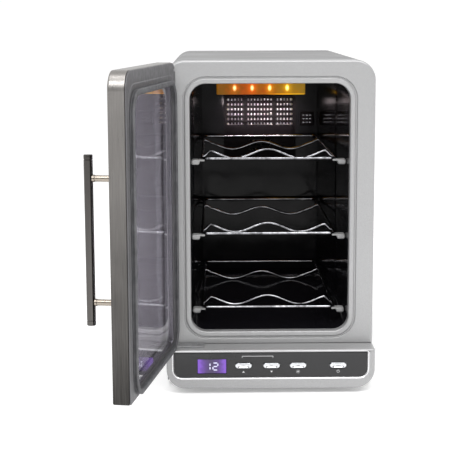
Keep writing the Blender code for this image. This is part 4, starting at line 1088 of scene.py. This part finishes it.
def sensor():
    """Small vented cover of the temperature sensor."""
    low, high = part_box("sensor_cover")
    profile = eased([(1.6 * MM, low.y, 0.0), (0.0, low.y, 1.4 * MM), (0.0, high.y, 0.0)], 4, closed=False)
    bm = bmesh.new()
    skin_rows(bm, [upright(rounded(low.x + s, high.x - s, low.z + s, high.z - s, 2.2 * MM, 6), y)
                   for s, y in profile])
    dress(solid("sensor_housing", bm), "grille", "cabinet", ["sensor_cover"])
    bm = bmesh.new()
    for row in range(3):
        z = low.z + 4.5 * MM + row * 5.5 * MM
        for k in range(3):
            x = low.x + 4.2 * MM + k * 5.0 * MM
            block(bm, (x, low.y - 0.05 * MM, z), (x + 3.4 * MM, low.y + 0.6 * MM, z + 1.6 * MM), 0.3 * MM)
    dress(solid("sensor_louvres", bm), "wire", "cabinet")


def rotor(name, node, body, blades):
    """Fan rotor: domed hub and curved, twisted blades."""
    low, high, cx, cz = placed(node)
    tip = (high.z - low.z) / 2.0
    hub = tip * 0.36 / 0.86
    bm = bmesh.new()
    profile = eased([(hub * 0.3, low.y, 0.0), (hub, low.y, hub * 0.25), (hub, high.y, 0.0)], 5, closed=False)
    skin_rows(bm, [upright(circle(cx, cz, r, 40), y) for r, y in profile])
    mid, deep = (low.y + high.y) / 2.0, (high.y - low.y) * 0.44
    for k in range(blades):
        start = 2.0 * math.pi * k / blades
        loops = []
        for i in range(9):
            share = i / 8.0
            r = hub * 0.9 + (tip * 0.98 - hub * 0.9) * share
            sweep = start + 0.35 * share ** 1.5
            chord = (0.55 + 0.12 * share) * 2.0 * math.pi / blades
            section = []
            for side in (-1.0, 1.0):
                for j in range(7):
                    t = j / 6.0 if side < 0.0 else 1.0 - j / 6.0
                    a = sweep + chord * (t - 0.5)
                    camber = deep * 0.25 * math.sin(math.pi * t)
                    thick = 0.35 * MM * side * math.sin(math.pi * min(max(t, 0.06), 0.94)) ** 0.5
                    y = mid + deep * (1.0 - 2.0 * t) - camber + thick
                    section.append(Vector((cx + r * math.cos(a), y, cz + r * math.sin(a))))
            loops.append(section)
        skin_rows(bm, loops)
    dress(solid(name, bm, 50.0), "black", body, [node])


def fan_casing(name, node):
    """Fan casing with a flared bore and a motor seat on three arms."""
    low, high, cx, cz = placed(node)
    half = (high.z - low.z) / 2.0
    bore = half * 0.93
    square = rounded(cx - half, cx + half, cz - half, cz + half, 3.0 * MM, 11)
    flare = [(0.6 * MM, high.y), (0.15 * MM, high.y - 0.5 * MM), (0.0, high.y - 1.4 * MM),
             (0.0, low.y + 1.4 * MM), (0.15 * MM, low.y + 0.5 * MM), (0.6 * MM, low.y)]
    start = math.pi + 0.25 * math.pi / 12
    loops = [upright(square, y) for y in (low.y, high.y)]
    loops += [upright(circle(cx, cz, bore + s, len(square), start), y) for s, y in flare]
    bm = bmesh.new()
    skin_rows(bm, loops, True)
    seat = circle(cx, cz, half * 0.38, 36)
    skin_rows(bm, [upright(seat, high.y - 1.6 * MM), upright(seat, high.y)])
    for k in range(3):
        arm = ray(cx, cz, math.radians(30.0 + 120.0 * k), 0.0, bore, half * 0.06)
        skin_rows(bm, [upright(arm, high.y - 1.5 * MM), upright(arm, high.y - 0.1 * MM)])
    dress(solid(name, bm), "black", "cabinet", [node])


def guard():
    """Chromed wire guard over the rear fan: four rings on crossed spokes."""
    low, high, cx, cz = placed("fan_guard")
    wire = (high.y - low.y) / 2.0
    y = (low.y + high.y) / 2.0
    reach = (high.z - low.z) / 2.0 - wire
    bm = bmesh.new()
    for share in (1.0, 0.76, 0.52, 0.28):
        path = [Vector((cx + reach * share * math.cos(a), y, cz + reach * share * math.sin(a)))
                for a in (2.0 * math.pi * k / 72 for k in range(72))]
        wire_rows(bm, path, wire * 0.62, 10, True)
    for k in range(4):
        a = 0.3 + math.pi * k / 4.0
        arm = Vector((math.cos(a), 0.0, math.sin(a))) * reach
        hub = Vector((cx, y + wire * 0.35, cz))
        wire_rows(bm, [hub - arm, hub + arm], wire * 0.6, 10)
    dress(solid("rear_guard", bm, 60.0), "chrome", "cabinet", ["fan_guard"])


def rear_panel():
    """Rear cover with rounded vent slots, a round fan opening and the inlet cut-out."""
    low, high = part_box("rear_cover")
    r = SHELL_R - 1.5 * MM
    fan_low, fan_high, cx, cz = placed("rear_fan_frame")
    near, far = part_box("mains_inlet")
    gap = 0.3 * MM
    holes = [circle(cx, cz, (fan_high.z - fan_low.z) * 0.47, 64),
             rounded(near.x - gap, far.x + gap, near.z - gap, far.z + gap, 1.0 * MM, 4)]
    for row in range(5):
        z = 150.0 * MM + row * 14.0 * MM
        for column in (-1, 0, 1):
            x = column * 56.0 * MM
            holes.append(slotted(x - 22.0 * MM, x + 22.0 * MM, z, 5.0 * MM))
    outline = rounded(low.x, high.x, low.z, high.z, (1.0 * MM, 1.0 * MM, r, r), 14)
    piece = plate("rear_panel", outline, low.y, high.y, holes, 0.3 * MM)
    dress(piece, "sheet", "cabinet", ["rear_cover"])
    bm = bmesh.new()
    spots = [(sx * (high.x - 10.0 * MM), z)
             for sx in (-1.0, 1.0) for z in (22.0 * MM, 215.0 * MM, 380.0 * MM)]
    spots += [(cx + sx * 36.0 * MM, cz + sz * 36.0 * MM) for sx in (-1.0, 1.0) for sz in (-1.0, 1.0)]
    for x, z in spots:
        screw_rows(bm, x, z, high.y, 3.0 * MM)
    dress(solid("rear_screws", bm), "hinge", "cabinet")


def screw_rows(bm, x, z, y, r):
    """Pan head screw, seen from the rear, with a cross recess made as a dished centre."""
    profile = [(r, -0.2 * MM), (r, 0.5 * MM), (r * 0.86, 1.1 * MM), (r * 0.55, 1.5 * MM),
               (r * 0.42, 1.5 * MM), (r * 0.36, 0.8 * MM), (r * 0.1, 0.7 * MM)]
    skin_rows(bm, [upright(circle(x, z, rad, 20), y + out) for rad, out in profile])


def inlet():
    """Mains inlet with a rounded flange, recessed socket and three flat pins."""
    low, high, mid_x, mid_z = placed("mains_inlet")
    wall = 2.5 * MM
    profile = ((0.0, 1.5 * MM, low.y), (0.0, 1.5 * MM, high.y - 0.6 * MM), (0.5 * MM, 1.2 * MM, high.y),
               (wall - 0.5 * MM, 2.0 * MM, high.y), (wall, 2.0 * MM, high.y - 0.5 * MM),
               (wall, 2.0 * MM, high.y - 15.0 * MM))
    loops = [upright(rounded(low.x + s, high.x - s, low.z + s, high.z - s, r, 6), y) for s, r, y in profile]
    dress(skin("inlet_socket", loops), "black", "cabinet", ["mains_inlet"])
    bm = bmesh.new()
    for dx, dz in ((-7.0 * MM, -1.5 * MM), (0.0, 2.0 * MM), (7.0 * MM, -1.5 * MM)):
        block(bm, (mid_x + dx - 1.0 * MM, high.y - 15.5 * MM, mid_z + dz - 2.0 * MM),
              (mid_x + dx + 1.0 * MM, high.y - 3.0 * MM, mid_z + dz + 2.0 * MM), 0.4 * MM)
    dress(solid("inlet_pins", bm), "chrome", "cabinet")


# ---------------------------------------------------------------- shelves

def smoothstep(t):
    t = min(max(t, 0.0), 1.0)
    return t * t * (3.0 - 2.0 * t)


WAVE_LEVEL = 1.0 * MM        # straight run at each end of a wave
WAVE_TURN = 11.0 * MM        # then it turns off its side rod's height


def wave(half, y, z, centre, swing):
    """Wire rising and falling twice across the shelf, its ends turned onto the side rods."""
    count = 160
    points = []
    for i in range(count + 1):
        t = i / count
        ease = smoothstep((min(t, 1.0 - t) * 2.0 * half - WAVE_LEVEL) / WAVE_TURN)
        rise = (centre + swing * math.cos(4.0 * math.pi * t)) * ease
        points.append(Vector((half * (2.0 * t - 1.0), y, z + rise)))
    return points


def weld(bm, at, r):
    """Small fillet of weld where a wire meets a rod."""
    made = bmesh.ops.create_uvsphere(bm, u_segments=14, v_segments=8, radius=r)["verts"]
    for v in made:
        v.co = Vector((v.co.x * 0.9, v.co.y * 1.25, v.co.z * 0.95)) + at


def shelves():
    """Chromed shelf: closed rod frame, two waved wires that cradle the bottles, welded at both ends."""
    for level in LEVELS:
        name = "shelf_" + level
        low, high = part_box(name)
        z = rod_level(level)
        x0, x1 = low.x + WIRE_R, high.x - WIRE_R
        y0, y1 = low.y + WIRE_R, high.y - WIRE_R
        bm = bmesh.new()
        plan = rounded(x0, x1, y0, y1, 7.0 * MM, 12)
        wire_rows(bm, [Vector((px, py, z)) for px, py in plan], WIRE_R, 18, True)
        for gap, centre, swing in ((30.0 * MM, 3.0 * MM, 6.0 * MM), (256.0 * MM, -8.0 * MM, 5.5 * MM)):
            path = wave(x1, y0 + gap, z, centre, swing)
            wire_rows(bm, path, WAVE_R, 16)
            for end in (path[0], path[-1]):
                weld(bm, end, WIRE_R * 1.18)
        dress(solid("wire_" + name, bm, 70.0), "wire", level + "_shelf", [name])


# ---------------------------------------------------------------- door

def to_u(x):
    return x - HINGE_AT.x


def door_outline(inset, steps=14):
    low_r = max(2.0 * MM - inset, 0.5 * MM)
    r = DOOR_R - inset
    return rounded(DOOR_EDGE_U + inset, DOOR_FAR_U - inset, DOOR_LOW + inset, DOOR_HIGH - inset,
                   (low_r, low_r, r, r), steps)


def window_outline(grow, r, steps=14):
    return rounded(to_u(-WINDOW_HALF) - grow, to_u(WINDOW_HALF) + grow, WINDOW_LOW - grow,
                   WINDOW_HIGH + grow, r, steps)


def lip_outline(grow):
    """Raised line on the door's inner face, outside the gasket; it closes in on the door's lower edge."""
    half = SEAL_HALF + 7.0 * MM
    return rounded(to_u(-half) - grow, to_u(half) + grow, DOOR_LOW + 1.8 * MM - grow * 0.2,
                   SEAL_HIGH + 9.0 * MM + grow, (3.0 * MM, 3.0 * MM, SEAL_R, SEAL_R), 14)


def seal_outline(grow):
    return rounded(to_u(-SEAL_HALF) - grow, to_u(SEAL_HALF) + grow, SEAL_LOW - grow, SEAL_HIGH + grow,
                   SEAL_R + grow, 14)


POCKET = 5.0 * MM
COVER_T = 1.8 * MM
GLASS_T = 3.0 * MM


def hinge_notch(obj):
    """Cuts the slot that clears the top hinge arm, as the frame's door has it."""
    bm = bmesh.new()
    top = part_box("hinge_bracket_top")[1].z + 0.8 * MM
    block(bm, (DOOR_EDGE_U - 3.0 * MM, -(DOOR_OUT_V - 2.8 * MM), top - 1.8 * MM - 1.6 * MM),
          (8.5 * MM, -DOOR_IN_V + 3.0 * MM, top), 0.3 * MM)
    tool = solid("tool", bm)
    tool.modifiers.clear()
    step = obj.modifiers.new("slot", "BOOLEAN")
    step.operation = "DIFFERENCE"
    step.solver = "EXACT"
    step.object = tool
    obj.modifiers.move(len(obj.modifiers) - 1, 0)
    keep = obj.modifiers["normals"]
    keep.show_viewport = False
    graph = bpy.context.evaluated_depsgraph_get()
    mesh = bpy.data.meshes.new_from_object(obj.evaluated_get(graph))
    obj.modifiers.remove(step)
    keep.show_viewport = True
    obj.data = mesh
    bpy.data.objects.remove(tool, do_unlink=True)
    mesh.set_sharp_from_angle(angle=math.radians(38.0))
    return obj


def door_shell():
    """Brushed door frame, its outer face rolled at every edge."""
    back = DOOR_IN_V + COVER_T + 0.3 * MM
    lip = DOOR_OUT_V - 2.6 * MM
    outside = [(0.7 * MM, back), (0.2 * MM, back + 0.3 * MM), (0.0, back + 0.9 * MM)]
    outside += eased([(0.0, back, 0.0), (0.0, DOOR_OUT_V, 2.4 * MM), (8.0 * MM, DOOR_OUT_V, 0.0)], 6,
                     closed=False)[1:-1]
    loops = [on_door(door_outline(inset), v) for inset, v in outside]
    inside = eased([(2.4 * MM, DOOR_OUT_V, 0.0), (0.0, DOOR_OUT_V, 1.5 * MM), (0.0, lip, 0.0)], 5,
                   closed=False)
    loops += [on_door(window_outline(grow, 15.0 * MM + grow), v) for grow, v in inside]
    loops += [on_door(window_outline(POCKET, 6.0 * MM), lip), on_door(window_outline(POCKET, 6.0 * MM), back)]
    piece = hang(hinge_notch(skin("door_shell", loops, ring=True)))
    dress(piece, "door_steel", "door", ["door_frame"])


def door_lining():
    """Grey inner door frame: softened rims, a raised lip outside the gasket and a step down to the glass."""
    back = DOOR_IN_V
    edge = ((0.9 * MM, back + COVER_T), (0.6 * MM, back + COVER_T * 0.6), (0.8 * MM, back + 0.5 * MM),
            (1.4 * MM, back + 0.2 * MM))
    profile = [on_door(door_outline(inset), v) for inset, v in edge]
    lip = ((0.9 * MM, back + 0.5 * MM), (0.6 * MM, back + 0.3 * MM), (0.0, back), (-0.9 * MM, back))
    profile += [on_door(lip_outline(grow), v) for grow, v in lip]
    profile += [on_door(seal_outline(grow), back + 0.3 * MM) for grow in (3.2 * MM, -3.2 * MM)]
    window = eased([(0.9 * MM, back + 0.3 * MM, 0.0), (0.0, back + 0.3 * MM, 0.5 * MM),
                    (0.0, back + COVER_T, 0.0)], 4, closed=False)
    profile += [on_door(window_outline(max(grow, 0.0), 15.0 * MM + grow), v) for grow, v in window]
    piece = hang(hinge_notch(skin("door_lining", profile, ring=True)))
    dress(piece, "grey", "door", ["door_inner_frame"])


def panes():
    """Two smoked panes with polished, chamfered edges."""
    for name, node, v0 in (("outer_pane", "outer_glass", DOOR_OUT_V - 2.6 * MM - 0.3 * MM - GLASS_T),
                           ("inner_pane", "inner_glass", DOOR_IN_V + COVER_T + 0.3 * MM)):
        profile = ((0.4 * MM, v0), (0.0, v0 + 0.4 * MM), (0.0, v0 + GLASS_T - 0.4 * MM),
                   (0.4 * MM, v0 + GLASS_T))
        loops = [on_door(window_outline(POCKET - 0.3 * MM - s, 5.5 * MM), v) for s, v in profile]
        dress(hang(skin(name, loops)), "glass", "door", [node])


def spacer():
    """Extruded spacer between the panes, with a fluted inner face."""
    low = DOOR_IN_V + COVER_T + 0.6 * MM + GLASS_T
    high = DOOR_OUT_V - 2.6 * MM - 0.6 * MM - GLASS_T
    flutes = 4
    inner = []
    for k in range(flutes * 4 + 1):
        share = k / (flutes * 4)
        inner.append((0.2 * MM + 0.35 * MM * (0.5 - 0.5 * math.cos(2.0 * math.pi * flutes * share)),
                      high + (low - high) * share))
    loops = [on_door(window_outline(POCKET - 0.3 * MM, 5.5 * MM), v) for v in (low, high)]
    loops += [on_door(window_outline(grow, 1.5 * MM + grow), v) for grow, v in inner]
    dress(hang(skin("glazing_spacer", loops, ring=True)), "aluminium", "door", ["glass_spacer"])


def gasket():
    """Magnetic seal: bellows between a foot held in the lining and a rounded sealing tube."""
    foot = DOOR_IN_V - 0.3 * MM
    face = DOOR_IN_V - DOOR_GAP + 0.3 * MM
    h = SEAL_W / 2.0
    gap = foot - face
    side = [(1.0, 0.0), (0.92, 0.10), (0.62, 0.20), (0.80, 0.30), (0.62, 0.40), (0.90, 0.52), (1.0, 0.66),
            (0.98, 0.84), (0.82, 0.95), (0.55, 1.0)]
    outer = [(h * w, foot - gap * s) for w, s in side]
    inner = [(-h * w, foot - gap * s) for w, s in side[::-1]]
    loops = [on_door(seal_outline(grow), v) for grow, v in outer + inner]
    dress(hang(skin("bellows_gasket", loops, ring=True, sharp=60.0)), "seal", "door",
          ["door_gasket"])


def handle():
    """Bar handle with a turned cap ring at each end and two posts with collars."""
    u, v = 242.7 * MM, 36.55 * MM
    low, high, r = 138.0 * MM, 327.0 * MM, 5.0 * MM
    ring = 5.0 * MM
    half = [(r * 0.3, 0.0), (r - 1.0 * MM, 0.0), (r - 0.3 * MM, 0.3 * MM), (r, 1.0 * MM), (r, ring),
            (r - 0.35 * MM, ring + 0.3 * MM), (r - 0.35 * MM, ring + 0.9 * MM), (r, ring + 1.2 * MM)]
    long = high - low
    profile = half + [(rad, long - along) for rad, along in half[::-1]]
    piece = hang(turned("grip_bar", (u, -v, low), (0.0, 0.0, 1.0), profile, 48))
    dress(piece, "handle", "door", ["handle_bar"])
    start = DOOR_OUT_V + 0.3 * MM
    reach = v - r * 0.9 - start
    p = 4.3 * MM
    profile = [(p, 0.0), (p, 1.6 * MM), (p - 0.25 * MM, 2.0 * MM), (p - 0.7 * MM, 2.4 * MM),
               (p - 0.7 * MM, reach - 3.0 * MM), (p - 0.2 * MM, reach - 2.4 * MM), (p - 0.2 * MM, reach)]
    for end in ("upper", "lower"):
        z = placed("handle_post_" + end)[3]
        post = hang(turned("grip_post_" + end, (u, -start, z), (0.0, -1.0, 0.0), profile, 40))
        dress(post, "post", "door", ["handle_post_" + end])


def hinges():
    """Brackets and bushes keep the frame's shape; the screw gets a domed head with a dished centre."""
    refinish("hinge", "hinge_bracket_bottom", "hinge_bracket_top")
    refinish("nylon", "hinge_bush_bottom", "hinge_bush_top")
    centre, r, h = standing("hinge_screw")
    profile = [(r, 0.0), (r, h * 0.4), (r * 0.86, h * 0.75), (r * 0.55, h), (r * 0.42, h),
               (r * 0.34, h * 0.5), (r * 0.1, h * 0.45)]
    dress(turned("pivot_screw", centre, (0.0, 0.0, 1.0), profile, 28), "hinge", "cabinet",
          ["hinge_screw"])


def hidden_parts():
    refinish("foam", "insulation")
    refinish("board", "control_board", "light_board", "power_board")


# ---------------------------------------------------------------- stage, light and camera

def stage():
    """Pale floor under the feet."""
    bm = bmesh.new()
    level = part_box("foot_front_left")[0].z
    disc = circle(0.0, 0.0, 40.0, 64)
    skin_rows(bm, [flat(disc, level - 0.02), flat(disc, level)])
    floor = solid("studio_floor", bm)
    f = Finish("studio_white", roughness=0.9, Specular_IOR_Level=0.0, Emission_Strength=0.22)
    f.colour(f.ramp(f.noise(0.8, 3.0), ((0.3, (0.93, 0.93, 0.93)), (0.7, (0.95, 0.95, 0.95)))))
    f.shader.inputs["Emission Color"].default_value = (1.0, 1.0, 1.0, 1.0)
    floor.data.materials.append(f.material)


def softbox(name, at, target, size, power, colour=(1.0, 1.0, 1.0), spread=180.0):
    light = bpy.data.lights.new(name, "AREA")
    light.shape = "RECTANGLE"
    light.size, light.size_y = size
    light.energy = power
    light.color = colour
    light.spread = math.radians(spread)
    obj = bpy.data.objects.new(name, light)
    obj.location = at
    obj.rotation_euler = (Vector(target) - Vector(at)).to_track_quat("-Z", "Y").to_euler()
    bpy.context.scene.collection.objects.link(obj)


def studio():
    """White studio, dimmer on the side of the room that the cooler's front faces."""
    world = bpy.data.worlds.new("studio")
    bpy.context.scene.world = world
    world.use_nodes = True
    tree = world.node_tree
    back = tree.nodes["Background"]
    where = tree.nodes.new("ShaderNodeTexCoord")
    split = tree.nodes.new("ShaderNodeSeparateXYZ")
    fade = tree.nodes.new("ShaderNodeMapRange")
    seen = tree.nodes.new("ShaderNodeLightPath")
    bright = tree.nodes.new("ShaderNodeMath")
    bright.operation = "MAXIMUM"
    for key, number in (("From Min", -0.9), ("From Max", 0.1), ("To Min", 0.42), ("To Max", 1.02)):
        fade.inputs[key].default_value = number
    tree.links.new(where.outputs["Generated"], split.inputs["Vector"])
    tree.links.new(split.outputs["Y"], fade.inputs["Value"])
    tree.links.new(fade.outputs["Result"], bright.inputs[0])
    tree.links.new(seen.outputs["Is Camera Ray"], bright.inputs[1])
    tree.links.new(bright.outputs["Value"], back.inputs["Strength"])
    back.inputs["Color"].default_value = (1.0, 1.0, 1.0, 1.0)
    softbox("key", (0.0, -1.75, 1.75), (0.0, -0.2, 0.25), (2.4, 0.7), 42.0)
    softbox("top", (-0.2, -0.7, 1.9), (-0.1, -0.3, 0.4), (1.2, 0.5), 8.0)
    lamps_at = (0.0, LIGHT_LOW.y - 60.0 * MM, LIGHT_LOW.z - 20.0 * MM)
    lit_spot = (0.0, GRILLE_HIGH.y, GRILLE_LOW.z + 62.0 * MM)
    softbox("lamp_spill", lamps_at, lit_spot, (110.0 * MM, 8.0 * MM), 0.045, (1.0, 0.84, 0.86), 40.0)


def camera():
    """Camera in front of the cooler, a little above it, at the viewing angle of a product picture."""
    lens = bpy.data.cameras.new("camera")
    lens.sensor_width = 36.0
    lens.lens = 101.6
    view = bpy.data.objects.new("camera", lens)
    pitch, yaw, roll = math.radians(9.368), math.radians(0.639), math.radians(-0.215)
    ahead = Vector((math.sin(yaw) * math.cos(pitch), math.cos(yaw) * math.cos(pitch), -math.sin(pitch)))
    right = Vector((math.cos(yaw), -math.sin(yaw), 0.0))
    up = right.cross(ahead)
    right, up = right * math.cos(roll) + up * math.sin(roll), up * math.cos(roll) - right * math.sin(roll)
    turn = Matrix((right, up, -ahead)).transposed().to_4x4()
    view.matrix_world = Matrix.Translation((-0.0709, FRONT_Y - 1.6399, 0.4738)) @ turn
    bpy.context.scene.collection.objects.link(view)
    bpy.context.scene.camera = view
    bpy.context.scene.view_settings.view_transform = "Standard"


# ---------------------------------------------------------------- assembly

def build():
    shell()
    front_bezel()
    chamber()
    base()
    feet()
    pegs()
    control_panel()
    fascia()
    keys()
    display()
    key_marks()
    light_bar()
    lamps()
    grille()
    cooling()
    sensor()
    fan_casing("inner_fan_casing", "inner_fan_frame")
    fan_casing("rear_fan_casing", "rear_fan_frame")
    rotor("inner_fan_blades", "inner_fan_rotor", "inner_rotor", 7)
    rotor("rear_fan_blades", "rear_fan_rotor", "rear_rotor", 7)
    guard()
    rear_panel()
    inlet()
    shelves()
    door_shell()
    door_lining()
    panes()
    spacer()
    gasket()
    handle()
    hinges()
    hidden_parts()
    stage()
    studio()
    camera()


build()
